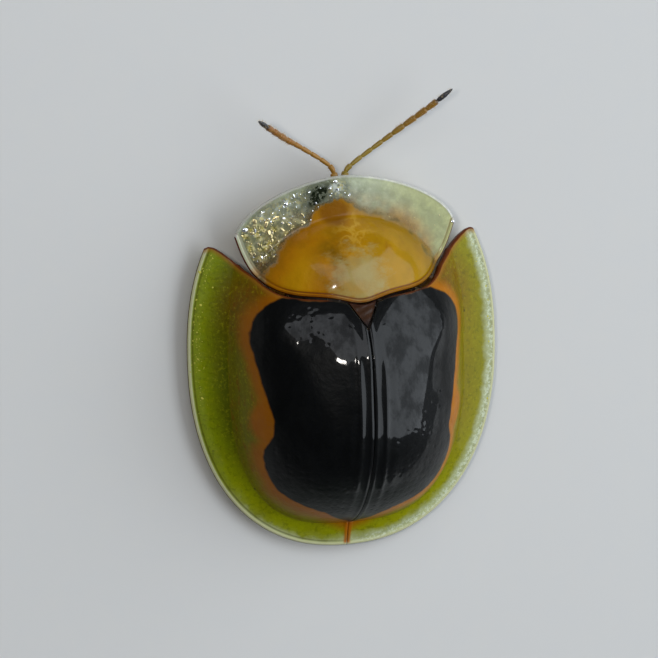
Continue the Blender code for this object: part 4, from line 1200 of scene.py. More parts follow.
def amberTone(paint, inside):
    # The amber disc from its ground up to the darker ring at its edge
    tones = pronotum["tones"]
    amber, across, brow = paint.field("amber"), paint.field("across"), paint.field("brow")
    warm = paint.times(paint.fade(across, 0.55, 0.95), paint.fade(amber, 0.12, 0.40))
    # Painted shade: a darker band on the left of the amber
    dusk = paint.times(paint.field("dusk"), paint.fade(paint.noise(0.32, 3), 0.20, 0.60))
    ragged = paint.times(paint.minus(paint.noise(0.16, 7, 0.72, (0.6, 1, 1)), 0.5), 2.0)
    # Painted reflection: a ragged paler patch on the amber
    pale = paint.fade(paint.plus(paint.field("pale"), ragged), -0.12, 0.50)
    pale = paint.times(pale, paint.fade(paint.noise(0.30, 4), 0.30, 0.62, 0.50, 0.85))
    curl = paint.times(paint.band(paint.noise(0.26, 3, 0.5), 0.5, 0.08), paint.field("curls"))
    return paint.layers(
        paint.mix(paint.fade(across, 0.7, -0.7), *tones["amber"]),
        (paint.fade(paint.noise(0.5, 5, 0.6), 0.35, 0.7, 0.0, 0.6), tones["clouds"]),
        (paint.fade(paint.noise(0.3, 6, 0.6, (1, 0.5, 1)), 0.52, 0.75, 0.0, 0.5), tones["shades"]),
        (paint.times(warm, 0.7), tones["warm"]),
        (paint.times(dusk, 0.9), tones["dusk"]),
        (pale, tones["pale"]),
        (paint.times(curl, 0.6), tones["curls"]),
        (paint.fade(brow, 0.25, 0.7, 0.0, 0.85), tones["brow"]),
        (paint.fade(inside, 0.0, 0.22, 0.4, 0.0), tones["amberEdge"]))


def foilAndGlintTone(paint):
    # Gold foil of the left side, with painted glints: ragged cells, cream and gold between dull green
    # ones
    tones, silver = pronotum["tones"], paint.field("silver")
    first, second = paint.shards(0.055), paint.shards(0.034)
    bright = paint.mix(silver, *tones["brightFoil"])
    dull = paint.mix(silver, *tones["dullFoil"])
    return paint.layers(
        paint.mix(paint.fade(first, 0.32, 0.60), dull, bright),
        (paint.fade(second, 0.60, 0.68), tones["creamFoil"]),
        (paint.fade(second, 0.36, 0.30, 0.0, 0.6), tones["darkFoil"]))


def glassTone(paint, eyeShade):
    # The clear rim, with the foil and its painted glints, and the eye's dark and the shade beneath the
    # rim painted on it
    tones = pronotum["tones"]
    blush = paint.times(paint.fade(paint.field("amber"), -0.40, -0.02),
                        paint.fade(paint.noise(0.3), 0.35, 0.65))
    return paint.layers(
        paint.mix(paint.noise(0.12, 4, 0.6), *tones["glass"]),
        (paint.fade(paint.field("across"), 0.0, -1.3, 0.0, 0.7), tones["rightGlass"]),
        (paint.times(blush, 0.8), tones["blush"]),
        # Painted glints of the gold cells, on the left side
        (paint.times(paint.field("foil"), 0.9), foilAndGlintTone(paint)),
        (eyeShade, tones["eye"]),
        (paint.fade(paint.field("rim"), 0.016, 0.045, 1.0, 0.0), tones["rim"]))


def pronotumPaint():
    paint, tones = Paint("pronotumCuticle"), pronotum["tones"]
    rim, hind, across = paint.field("rim"), paint.field("hind"), paint.field("across")
    brow = paint.field("brow")
    wander = paint.times(paint.minus(paint.noise(0.16, 6, 0.7), 0.5),
                         paint.fade(brow, 0.0, 0.6, 0.20, 0.60))
    inside = paint.plus(paint.plus(paint.field("amber"), wander), paint.times(brow, 0.36))
    soft = paint.plus(paint.fade(across, 0.4, -0.6, 0.07, 0.26), paint.times(brow, 0.12))
    onAmber = paint.fade(inside, paint.times(soft, -1.0), 0.05)
    # The eye's dark and the shade beneath the rim are painted on the clear rim
    blotch = paint.fade(paint.noise(0.09, 5, 0.7), 0.32, 0.52, 0.15, 1.0)
    eyeShade = paint.times(paint.field("eyeShade"), blotch, clamp=True)
    outline = paint.times(paint.band(inside, -0.03, 0.05), paint.fade(paint.noise(0.2), 0.4, 0.6))
    aside = paint.fade(paint.maths("ABSOLUTE", across), 0.95, 1.35)
    bead = paint.times(paint.band(hind, 0.038, 0.019), paint.fade(aside, 0.0, 1.0, 1.0, 0.25))
    groove = paint.times(paint.band(hind, 0.070, 0.024), paint.fade(aside, 0.0, 1.0, 0.9, 0.5))
    colour = paint.layers(
        paint.mix(onAmber, glassTone(paint, eyeShade), amberTone(paint, inside)),
        (paint.times(outline, 0.7), tones["outline"]),
        (groove, tones["groove"]),
        (bead, tones["bead"]),
        (paint.fade(hind, 0.014, 0.024, 1.0, 0.0), tones["hindLine"]))
    # How far light is held back: all of it on the amber, least in the haze of the clear rim
    haze = paint.fade(paint.noise(0.18, 5, 0.65), 0.38, 0.72, 0.04, 0.34)
    haze = paint.plus(haze, paint.fade(rim, 0.24, 0.06, 0.0, 0.25))
    # The rim is made milkier towards the right, so that its pale colour shows as a painted whitish
    # reflection
    haze = paint.plus(haze, paint.fade(across, 0.25, -0.45, 0.0, 0.50))
    solid = onAmber
    for cover in (paint.fade(hind, 0.08, 0.12, 1.0, 0.0), paint.fade(rim, 0.016, 0.04, 0.6, 0.0),
                  paint.times(outline, 0.6), haze, paint.times(paint.field("foil"), 0.85), eyeShade):
        solid = paint.larger(solid, cover)
    relief = paint.relief(
        (paint.noise(0.09, 4, 0.6), 0.003),
        (paint.noise(0.28, 5, 0.6), 0.02),
        (paint.cells(0.07, "SMOOTH_F1"), 0.002))
    return paint.finish(baseColor=colour, roughness=paint.fade(onAmber, 0.0, 1.0, 0.06, 0.40),
                        normal=relief, iOR=1.4, specularIORLevel=0.1,
                        transmissionWeight=paint.minus(1.0, solid),
                        coatWeight=paint.fade(hind, 0.03, 0.12, 0.25, 0.55), coatRoughness=0.10,
                        coatIOR=1.42, subsurfaceWeight=0.08,
                        subsurfaceRadius=(0.08, 0.06, 0.02), subsurfaceScale=0.4 * mm)


scutellum = {
    "rows": 40,
    "columns": 40,
    "clear": 0.016,  # gap to the elytra
    "crown": 0.05,
    "sunk": 0.02,  # under the top of the elytra
    "thickness": 0.08,
    "wrinkle": 0.004,
    "rim": 0.010,
    "edgeDrop": 0.03,
}


def scutellumPart():
    tip = elytra["scutellumTip"] + 2.6 * scutellum["clear"]
    down = np.linspace(0, 1, scutellum["rows"])[:, None]
    across = np.sin(np.linspace(-1, 1, scutellum["columns"]) * math.pi / 2)[None, :]
    x = np.maximum(0, elytra["scutellumHalf"] * (1 - down) - scutellum["clear"]) * across
    base = collarRear(x) - elytra["seam"] / 2
    s = base + (tip - base) * down
    crown = scutellum["crown"] * (x / elytra["scutellumHalf"]) ** 2
    z = elytraTop(0 * x, s) - crown - scutellum["sunk"]
    z = z + scutellum["rim"] * smoothStep(np.abs(across), 0.8, 0.97) * (1 - down)
    z = z + scutellum["wrinkle"] * np.sin(62 * s + 3 * np.sin(9 * x)) * (1 - down)
    z = z - scutellum["edgeDrop"] * smoothStep(np.abs(across), 0.96, 1.0)
    top = at(x, s, z)
    return platePart(top, top - np.array([0, 0, scutellum["thickness"]]), down=down + 0 * x)


def scutellumPaint():
    paint = Paint("scutellumCuticle")
    down = paint.field("down")
    tone = paint.layers(
        paint.mix(paint.noise(0.08, 4, 0.6), rgb(44, 24, 10), rgb(72, 42, 20)),
        (paint.fade(down, 0.45, 1.0), rgb(30, 22, 22)),
        (paint.fade(down, 0.0, 0.12, 0.8, 0.0), rgb(60, 26, 12)))
    relief = paint.relief((paint.noise(0.02, 4), 0.003))
    return paint.finish(baseColor=tone, roughness=0.4, normal=relief, specularIORLevel=0.2,
                        coatWeight=0.2, coatRoughness=0.1)


pronotumPiece = newObject("pronotumPlate", outwardMesh("pronotumPlate", pronotumPart()),
                          pronotumPaint())
goldCells = cellsPiece("pronotumGoldCells", pronotumPiece, "goldCells", goldFleck,
                       pronotum["goldDensity"], pronotum["goldRadius"], pronotum["goldSpacing"],
                       pronotum["seed"])
paleCells = cellsPiece("pronotumPaleCells", pronotumPiece, "paleCells", paleFleck,
                       pronotum["paleDensity"], pronotum["paleRadius"], pronotum["paleSpacing"],
                       pronotum["seed"] + 1)
glints = newObject("pronotumGlints", outwardMesh("pronotumGlints", glintPart()), paleFleck)
finishPiece(glints)
finishPiece(pronotumPiece, ["pronotum"])
finishPiece(goldCells)
finishPiece(paleCells)
scutellumPiece = newObject("scutellumPlate", outwardMesh("scutellumPlate", scutellumPart()),
                           scutellumPaint())
finishPiece(scutellumPiece, ["scutellum"])
print("pronotum and scutellum ready")


# Hairs

def hairPaint():
    paint = Paint("goldHair")
    tone = paint.mix(paint.noise(0.3, 2), rgb(196, 156, 84), rgb(214, 190, 140))
    return paint.finish(baseColor=tone, roughness=0.45, sheenWeight=0.3)


goldHair = hairPaint()


def hairsOn(name, source, slot, density, length, thickness, seed, lean=0.45, sweep=0.0):
    # Density is hairs for each square millimetre of the part that the "hairy" field marks
    values = {"Density": density / mm ** 2, "Length": length * mm, "Thickness": thickness * mm,
              "Lean": lean, "Sweep Back": sweep, "Seed": seed, "Material": goldHair}
    return finishPiece(newObject(name, runTree(source, growHairs, values)))


# Antennae

antenna = {
    "segments": [(0.27, 0.058), (0.13, 0.042), (0.21, 0.036), (0.20, 0.036), (0.20, 0.038),
                 (0.19, 0.040), (0.22, 0.046), (0.22, 0.048), (0.21, 0.049), (0.21, 0.048),
                 (0.31, 0.038)],  # length and half thickness
    "bead": [(0.02, 0.66), (0.08, 0.78), (0.22, 0.89), (0.6, 0.99), (0.86, 1.0), (0.95, 0.86),
             (0.985, 0.68)],  # outline of a segment as shares of its length and half thickness
    "tip": [(0.02, 0.6), (0.08, 0.82), (0.2, 0.98), (0.42, 1.0), (0.7, 0.76), (0.9, 0.42),
            (1.0, 0.06)],
    "paths": {
        "left": [(0.10, 5.54, 0.40), (0.09, 5.79, 0.37), (0.20, 5.95, 0.37), (0.62, 6.24, 0.51),
                 (0.92, 6.43, 0.72), (1.20, 6.63, 0.98), (1.49, 6.84, 1.27)],
        "right": [(-0.10, 5.54, 0.40), (-0.09, 5.77, 0.36), (-0.21, 5.91, 0.35), (-0.60, 6.18, 0.38),
                  (-1.05, 6.50, 0.48), (-1.41, 6.77, 0.60), (-1.71, 7.02, 0.72)],
    },
    "rings": 330,
    "around": 18,
    "orange": {"left": 1.0, "right": 0.25},  # how orange each one is
    "hairs": {"density": 900, "length": 0.045, "thickness": 0.0025, "seed": 3, "sweep": -0.5},
}


def antennaPart(side):
    total = sum(length for length, _ in antenna["segments"])
    before, sections = 0.0, []
    for k, (length, half) in enumerate(antenna["segments"]):
        last = k == len(antenna["segments"]) - 1
        for along, share in antenna["tip" if last else "bead"]:
            sections.append(((before + along * length) / total, half * share, half * share))
        before += length
    path = [at(*point) for point in antenna["paths"][side]]
    return limbPart(path, sections, antenna["rings"], antenna["around"],
                    hairy=lambda where: 0.25 + 0.75 * smoothStep(where, 0.45, 0.7),
                    orange=antenna["orange"][side])


def antennaPaint():
    paint = Paint("antennaCuticle")
    along, orange = paint.field("along"), paint.field("orange")
    base = paint.mix(orange, rgb(134, 122, 4), rgb(158, 108, 10))
    far = paint.mix(orange, rgb(140, 102, 4), rgb(146, 86, 10))
    tip = paint.fade(paint.plus(along, paint.times(paint.noise(0.03), 0.02)), 0.86, 0.89)
    tone = paint.layers(
        paint.mix(paint.fade(along, 0.25, 0.75), base, far),
        (paint.times(paint.noise(0.05, 4), 0.3), rgb(190, 146, 50)),
        (tip, rgb(46, 45, 50)))
    relief = paint.relief((paint.noise(0.012, 4, 0.7), 0.004))
    return paint.finish(baseColor=tone, roughness=0.38, normal=relief, coatWeight=0.35,
                        coatRoughness=0.2, subsurfaceWeight=0.2,
                        subsurfaceRadius=(0.1, 0.06, 0.02), subsurfaceScale=0.15 * mm)


antennaCuticle = antennaPaint()
for sideName in sides:
    name = "antenna" + sideName.capitalize()
    piece = newObject(name, outwardMesh(name, antennaPart(sideName)), antennaCuticle)
    stem = "antenna_" + sideName + "_"
    hairsOn(name + "Hairs", piece, "antenna", **antenna["hairs"])
    finishPiece(piece, [stem + length for length in ("scape", "flagellum", "club")])
print("antennae ready")


# Trunk: one skin over the three parts of the thorax and the abdomen

trunk = {
    "belly": 0.56,  # middle of the underside over the ground
    "narrow": 4.0,  # ahead of this station the trunk is the narrow front part
    "proRear": 4.11,  # stations of the seams between the parts
    "proFront": 5.02,
    "mesoRear": 3.62,
    "metaRear": 2.62,
    "tip": 0.62,
    "frontHalf": 0.98,
    "frontTaper": 0.42,
    "rearHalf": 1.56,
    "rearLength": 2.48,
    "rearReach": 2.479,  # a little short of the length, so that the tip keeps some width
    "rearPowers": (2.4, 2.2),
    "shoulderTaper": 0.55,
    "clearance": 0.045,  # between the trunk and the shield
    "across": 36,
    "rings": 260,
    "round": 0.09,
    "neckDip": 0.16,  # how far the front end hangs down to the head
    "plates": [2.02, 1.68, 1.36, 1.04],  # hind edges of the belly plates
    "plateStep": 0.05,
    "plateGroove": 0.022,
    "groove": 0.04,
    "sideFold": 0.03,  # between belly and side
    "coxae": [((0.27, 4.50, 0.52), (0.20, 0.17, 0.15)),  # x, station, height and half sizes
              ((0.46, 3.86, 0.53), (0.24, 0.17, 0.15)),
              ((0.58, 2.80, 0.54), (0.42, 0.15, 0.15))],
    "keels": [((4.40, 0.53), (0.13, 0.25, 0.08)),  # station, height and half sizes
              ((3.84, 0.56), (0.16, 0.16, 0.05)),
              ((3.10, 0.57), (0.55, 0.42, 0.05))],
    "hairs": {"density": 55, "length": 0.09, "thickness": 0.004, "seed": 8, "lean": 0.5, "sweep": 0.8},
}


def trunkHalf(s):
    # Half width of the trunk, which tapers forward to the head and closes behind in an oval
    neck = trunk["proFront"] - trunk["proRear"]
    front = trunk["frontHalf"] - trunk["frontTaper"] * np.maximum(0, s - trunk["proRear"]) / neck
    outer, inner = trunk["rearPowers"]
    along = np.clip(elytra["widest"] - 0.05 - s, 0, trunk["rearReach"]) / trunk["rearLength"]
    rear = trunk["rearHalf"] * (1 - along ** outer) ** (1 / inner)
    rear = rear - trunk["shoulderTaper"] * np.maximum(0, s - 3.3) ** 1.4
    return np.where(s > trunk["narrow"], front, rear)


def trunkRoof(x, s):
    # Follows the elytra behind and the pronotum ahead, the lower of the two where they meet
    rear = collarRear(x)
    high = np.full(np.shape(x), 9.0)
    underElytra = underShield(elytraTop, x, s, trunk["clearance"])
    high = np.where(s < rear + 0.15, np.minimum(high, underElytra), high)
    underPronotum = underShield(pronotumTop, x, np.maximum(s, rear), trunk["clearance"])
    return np.where(s > rear - 0.15, np.minimum(high, underPronotum), high)


def trunkRing(s):
    # The outline of the trunk at one station: its roof, and back below along the belly
    half = float(trunkHalf(np.array(s)))
    share = np.sin(np.linspace(-math.pi / 2, math.pi / 2, 2 * trunk["across"] + 1))
    x = half * share
    roof = trunkRoof(x, np.full(x.shape, s))
    lift = 0.0
    if s > trunk["proRear"]:
        neck = trunk["proFront"] - trunk["proRear"]
        lift = -trunk["neckDip"] * ((s - trunk["proRear"]) / neck) ** 2
    elif s < trunk["metaRear"]:
        edges = [trunk["metaRear"]] + trunk["plates"] + [trunk["tip"]]
        for near, far in zip(edges, edges[1:]):
            if far < s <= near:
                lift = trunk["plateStep"] * (1 - (s - far) / (near - far)) ** 1.5
                lift -= trunk["plateGroove"] * math.exp(-(((s - far) / 0.04) ** 2))
    for seam in (trunk["proRear"], trunk["mesoRear"], trunk["metaRear"]):
        lift += trunk["groove"] * math.exp(-(((s - seam) / 0.018) ** 2))
    belly = trunk["belly"] + trunk["round"] * half * share ** 2 + lift
    belly = belly + trunk["sideFold"] * bell(np.abs(share) - 0.80, 0.04)
    belly = np.minimum(belly, roof - 0.05)
    upper, lower = at(x, s, roof), at(x, s, belly)
    return np.concatenate([upper, lower[::-1]])


def trunkPart():
    s = np.linspace(trunk["tip"], trunk["proFront"], trunk["rings"])
    hem = sum(bell(s - edge - 0.02, 0.022) for edge in trunk["plates"])  # pale hem of each belly plate
    parts = [loftPart([trunkRing(float(station)) for station in s], station=s, hairy=1.0, hem=hem)]
    for (x, station, z), half in trunk["coxae"]:
        for sign in sides.values():
            parts.append(ballPart(at(sign * x, station, z), half, 40, 26, station=station, hairy=0.6,
                                  hip=1.0))
    for (station, z), half in trunk["keels"]:
        parts.append(ballPart(at(0, station, z), half, 48, 26, station=station, hairy=0.8))
    return joinParts(parts)


def trunkPaint():
    paint = Paint("bellyCuticle")
    station = paint.field("station")
    dark = paint.mix(paint.noise(0.5, 4), rgb(30, 22, 18), rgb(58, 42, 30))
    amber = paint.mix(paint.noise(0.3, 4), rgb(140, 92, 34), rgb(172, 122, 52))
    pits = paint.fade(paint.cells(0.09), 0.0, 0.4)
    tone = paint.layers(
        paint.mix(paint.fade(station, 1.9, 0.8), dark, amber),
        (paint.fade(station, 4.2, 4.9), amber),
        (paint.times(paint.field("hem"), 0.8, clamp=True), rgb(126, 86, 44)),
        (paint.times(paint.field("hip"), 0.8), rgb(120, 76, 32)),
        # Painted shade: each pit is darker in its hollow
        (paint.fade(pits, 0.6, 0.0, 0.0, 0.5), rgb(20, 14, 10)))
    relief = paint.relief((paint.noise(0.03, 4, 0.7), 0.004), (pits, 0.012))
    return paint.finish(baseColor=tone, roughness=0.36, normal=relief, coatWeight=0.5,
                        coatRoughness=0.15)


trunkPiece = newObject("trunkSkin", outwardMesh("trunkSkin", trunkPart()), trunkPaint())
hairsOn("trunkHairs", trunkPiece, "underside", **trunk["hairs"])
finishPiece(trunkPiece, ["prothorax", "mesothorax", "metathorax", "abdomen"])
print("trunk ready")


# Head

head = {
    "sections": [(5.05, 0.28, 0.15, 0.45), (5.12, 0.36, 0.18, 0.40), (5.25, 0.42, 0.19, 0.335),
                 (5.38, 0.41, 0.19, 0.325), (5.48, 0.33, 0.17, 0.32), (5.56, 0.21, 0.12, 0.33),
                 (5.60, 0.10, 0.06, 0.335)],  # station, half width, half height, middle
    "rings": 96,
    "around": 96,
    "furrow": 0.018,  # line down the middle of the brow
    "cheek": 0.012,
    "face": ((5.53, 0.25), (0.16, 0.09, 0.10)),  # station, height and half sizes
    "brow": ((0.105, 5.56, 0.385), (0.075, 0.045, 0.07)),  # x, station, height and half sizes
    "socket": 0.062,  # half width of the ring round the root of an antenna
    "socketRings": [(-0.05, 0.9), (-0.01, 1.22), (0.012, 1.30), (0.03, 1.22), (0.036, 1.05),
                    (0.02, 0.95)],  # place along the antenna and share of the half width
    "eyeCentre": (0.375, 5.42, 0.36),
    "eyeHalf": (0.13, 0.16, 0.14),
    "facets": 4,  # subdivisions of the eye's ball
    "lens": 0.0085,
    "hairs": {"density": 160, "length": 0.05, "thickness": 0.003, "seed": 4},
}


def headPart():
    stations = [section[0] for section in head["sections"]]
    s = np.linspace(stations[0], stations[-1], head["rings"])
    wide, high, middle = [easedValues(stations, [section[k] for section in head["sections"]], s)
                          for k in (1, 2, 3)]
    spin = np.linspace(0, 2 * math.pi, head["around"], endpoint=False)
    x, z = np.outer(wide, np.cos(spin)), middle[:, None] + np.outer(high, np.sin(spin))
    ahead = np.repeat(s[:, None], head["around"], axis=1)
    furrow = head["furrow"] * bell(x, 0.018) * smoothStep(z, 0.30, 0.42)
    cheek = head["cheek"] * bell(z - 0.24, 0.02) * smoothStep(np.abs(x), 0.15, 0.3)
    z = z - furrow * np.sin(spin)[None, :] + cheek
    parts = [loftPart(at(x, ahead, z), station=s, hairy=0.6)]
    (station, level), half = head["face"]
    parts.append(ballPart(at(0, station, level), half, 48, 30, station=station, plate=1.0, hairy=1.0))
    (across, station, level), half = head["brow"]
    for side, sign in sides.items():
        centre = at(sign * across, station, level)
        parts.append(ballPart(centre, half, 36, 24, station=station, plate=0.7))
        parts.append(socketPart(side))
    return joinParts(parts)


def socketPart(side):
    # A raised ring round the root of an antenna
    path = smoothPath([at(*point) for point in antenna["paths"][side]], 60)
    centre, ahead = path[1], path[3] - path[0]
    ahead = ahead / np.linalg.norm(ahead)
    across, lift = squareTo(ahead)
    spin = np.linspace(0, 2 * math.pi, 32, endpoint=False)
    ring = np.outer(np.cos(spin), across) + np.outer(np.sin(spin), lift)
    rings = [centre + along * ahead + head["socket"] * wide * ring
             for along, wide in head["socketRings"]]
    return loftPart(rings, station=5.6, plate=0.5)


def headPaint():
    paint = Paint("headCuticle")
    brown = paint.mix(paint.noise(0.12, 4), rgb(128, 70, 14), rgb(178, 108, 28))
    dark = paint.mix(paint.noise(0.08, 4), rgb(22, 18, 16), rgb(44, 34, 26))
    tone = paint.mix(paint.fade(paint.field("station"), 5.42, 5.56), brown, dark)
    tone = paint.mix(paint.times(paint.field("plate"), 0.35), tone, rgb(70, 46, 24))
    pits = paint.fade(paint.cells(0.05), 0.05, 0.4)
    relief = paint.relief((paint.noise(0.015, 4, 0.7), 0.002), (pits, 0.008))
    return paint.finish(baseColor=tone, roughness=0.34, normal=relief, coatWeight=0.6,
                        coatRoughness=0.1)


def eyePaint():
    paint = Paint("eyeLenses")
    tone = paint.mix(paint.noise(0.1, 3), rgb(10, 9, 10), rgb(34, 20, 16))
    return paint.finish(baseColor=tone, roughness=0.14, coatWeight=1.0, coatRoughness=0.03)


def eyePiece(name, sign, material):
    x, s, z = head["eyeCentre"]
    bm = bmesh.new()
    bmesh.ops.create_icosphere(bm, subdivisions=head["facets"], radius=1.0)
    place = Matrix.Translation(at(sign * x, s, z).tolist()) @ Matrix.Diagonal((*head["eyeHalf"], 1))
    bm.transform(Matrix.Scale(mm, 4) @ place)
    mesh = bpy.data.meshes.new(name)
    bm.to_mesh(mesh)
    bm.free()
    ball = newObject(name + "Ball", mesh)
    values = {"Lens Radius": head["lens"] * mm, "Material": material}
    piece = newObject(name, runTree(ball, setFacets, values))
    bpy.data.objects.remove(ball)
    return piece


mouth = {
    "balls": [((0, 5.40, 0.145), (0.17, 0.12, 0.07)), ((0, 5.47, 0.125), (0.12, 0.07, 0.05))],
    "jaw": [(0.11, 5.42, 0.13), (0.10, 5.48, 0.09), (0.03, 5.51, 0.065)],
    "jawSections": [(0, .045, .04), (.3, .042, .038), (.6, .034, .03), (.85, .02, .02),
                    (1, .006, .006)],
    "palp": [(0.12, 5.37, 0.12), (0.19, 5.40, 0.08), (0.20, 5.48, 0.06)],
    "palpSections": [(0, .028, .028), (.28, .032, .032), (.35, .020, .020), (.42, .033, .033),
                     (.64, .036, .036), (.71, .021, .021), (.8, .034, .034), (.92, .026, .026),
                     (1, .008, .008)],
}


def mouthPart():
    parts = [ballPart(at(*centre), half, 40, 24) for centre, half in mouth["balls"]]  # base and lip
    for sign in sides.values():
        jaw = [at(sign * x, s, z) for x, s, z in mouth["jaw"]]
        parts.append(limbPart(jaw, mouth["jawSections"], 40, 20, dark=1.0))
        palp = [at(sign * x, s, z) for x, s, z in mouth["palp"]]
        parts.append(limbPart(palp, mouth["palpSections"], 60, 16))
    return joinParts(parts)


def mouthPaint():
    paint = Paint("mouthCuticle")
    tone = paint.mix(paint.noise(0.06, 4), rgb(120, 78, 28), rgb(158, 110, 46))
    jaw = paint.times(paint.field("dark"), paint.fade(paint.field("along"), 0.2, 0.8))
    relief = paint.relief((paint.noise(0.015, 4), 0.003))
    return paint.finish(baseColor=paint.mix(jaw, tone, rgb(30, 18, 12)), roughness=0.35, normal=relief,
                        coatWeight=0.5, coatRoughness=0.12)


headPiece = newObject("headSkin", outwardMesh("headSkin", headPart()), headPaint())
hairsOn("headHairs", headPiece, "underside", **head["hairs"])
finishPiece(headPiece, ["head"])
eyeLenses = eyePaint()
for sideName, sign in sides.items():
    finishPiece(eyePiece("eye" + sideName.capitalize(), sign, eyeLenses), ["eye_" + sideName])
mouthPiece = newObject("mouthPieces", outwardMesh("mouthPieces", mouthPart()), mouthPaint())
finishPiece(mouthPiece, ["mouthparts"])
print("head ready")


# Legs

leg = {
    "points": {  # hip, knee, ankle and a point that the foot aims at
        "front": [(0.34, 4.50, 0.42), (1.26, 4.42, 0.44), (1.17, 5.02, 0.14), (0.86, 5.36, 0.08)],
        "mid": [(0.58, 3.86, 0.42), (1.62, 4.02, 0.44), (1.92, 3.38, 0.14), (2.03, 2.98, 0.08)],
        "hind": [(0.84, 2.78, 0.42), (1.66, 2.32, 0.44), (1.62, 1.62, 0.14), (1.48, 1.22, 0.08)],
    },
    # Outlines, each place as a share of the length with its half width and half height
    "femur": [(0, .07, .06), (.08, .10, .085), (.15, .085, .075), (.3, .13, .10), (.5, .155, .11),
              (.7, .14, .10), (.88, .10, .085), (.97, .075, .065), (1, .03, .03)],
    "knee": (0.066, 0.066, 0.060),
    "tibia": [(0, .02, .02), (.03, .062, .055), (.12, .058, .052), (.3, .07, .056), (.6, .085, .062),
              (.85, .10, .068), (.96, .105, .07), (1, .05, .04)],
    "tibiaBow": 0.03,
    "tibiaGroove": 0.08,  # share of the thickness
    "stem": [(0, .05, .05), (.5, .06, .05), (1, .07, .055)],
    # Pads of the foot as places ahead, sideways and up, with their half sizes
    "pads": [(0.10, 0, 0.058, (0.095, 0.085, 0.07)), (0.22, 0, 0.052, (0.085, 0.11, 0.065)),
             (0.34, 0.072, 0.045, (0.115, 0.07, 0.06)), (0.34, -0.072, 0.045, (0.115, 0.07, 0.06))],
    "clawJoint": [(0, .02, .02), (.3, .023, .022), (.6, .028, .026), (.9, .036, .03), (1, .015, .015)],
    "clawPath": [(0.50, 0.016, 0.085), (0.56, 0.045, 0.08), (0.60, 0.065, 0.05)],
    "claw": [(0, .020, .022), (.3, .019, .020), (.6, .014, .015), (1, .003, .003)],
    "hairs": {"density": 120, "length": 0.075, "thickness": 0.003, "seed": 21, "lean": 0.6},
}


def tarsusParts(ankle, aim):
    # Three broad joints, the third in two lobes, a slim claw joint and two claws
    ahead = np.array([aim[0] - ankle[0], aim[1] - ankle[1], 0])
    ahead = ahead / np.linalg.norm(ahead)
    across = np.cross((0, 0, 1), ahead)
    turn = Matrix.Rotation(math.atan2(ahead[1], ahead[0]), 4, "Z")
    start = np.array([ankle[0], ankle[1], 0]) - 0.03 * ahead

    def spot(along, sideways, z):
        return start + ahead * along + across * sideways + np.array([0, 0, z])

    parts = [limbPart([ankle, spot(0.05, 0, 0.10), spot(0.13, 0, 0.07)], leg["stem"], 16, 20)]
    for along, sideways, z, half in leg["pads"]:
        pad = ballPart(spot(along, sideways, z), half, 30, 20, turn=turn, hairy=1.0)
        pad["points"][:, 2] = np.maximum(pad["points"][:, 2], 0.0)  # flat soles
        pad["fields"]["hairy"] = smoothStep(pad["points"][:, 2], 0.06, 0.10)  # no hairs under the sole
        parts.append(pad)
    joint = [spot(0.28, 0, 0.085), spot(0.42, 0, 0.098), spot(0.525, 0, 0.088)]
    parts.append(limbPart(joint, leg["clawJoint"], 24, 16, hairy=0.4))
    for lobe in (1, -1):
        claw = [spot(along, lobe * sideways, z) for along, sideways, z in leg["clawPath"]]
        parts.append(limbPart(claw, leg["claw"], 24, 14, horn=1.0))
    return parts


def tibiaRelief(share, spin):
    # Two shallow grooves along the outer face, deepest towards the foot
    groove = np.exp(-((np.sin(spin - math.pi / 2 + 0.35) / 0.16) ** 2))
    groove = groove + np.exp(-((np.sin(spin - math.pi / 2 - 0.35) / 0.16) ** 2))
    return -leg["tibiaGroove"] * groove * min(1.0, share * 1.6)


def legPart(which, sign):
    hip, knee, ankle, aim = [at(sign * x, s, z) for x, s, z in leg["points"][which]]
    bow = (knee + ankle) / 2 + np.array([0, 0, leg["tibiaBow"]])
    parts = [limbPart([hip, (hip + knee) / 2, knee], leg["femur"], 70, 32, hairy=0.5),
             limbPart([knee, bow, ankle], leg["tibia"], 60, 32, tibiaRelief, hairy=1.0)]
    inward = (ankle - knee) / np.linalg.norm(ankle - knee)
    parts.append(ballPart(knee + 0.03 * inward, leg["knee"], 28, 18, knee=1.0))
    return joinParts(parts + tarsusParts(ankle, aim))


def legPaint():
    paint = Paint("legCuticle")
    tone = paint.layers(
        paint.mix(paint.noise(0.2, 4), rgb(168, 112, 30), rgb(200, 146, 56)),
        (paint.times(paint.noise(0.05, 4, 0.7), 0.3), rgb(120, 74, 22)),
        (paint.times(paint.field("knee"), 0.7), rgb(120, 70, 22)),
        (paint.field("horn"), rgb(70, 34, 14)))
    relief = paint.relief((paint.noise(0.02, 4, 0.7), 0.004))
    return paint.finish(baseColor=tone, roughness=0.34, normal=relief, coatWeight=0.45,
                        coatRoughness=0.12, subsurfaceWeight=0.2,
                        subsurfaceRadius=(0.1, 0.06, 0.02), subsurfaceScale=0.25 * mm)


legCuticle = legPaint()
for which in leg["points"]:
    for sideName, sign in sides.items():
        name = "leg" + which.capitalize() + sideName.capitalize()
        piece = newObject(name, outwardMesh(name, legPart(which, sign)), legCuticle)
        stem = "leg_" + which + "_" + sideName + "_"
        hairsOn(name + "Hairs", piece, "leg", **leg["hairs"])
        finishPiece(piece, [stem + length for length in ("femur", "tibia", "tarsus")])
print("legs ready")


# Floor, lamps and camera

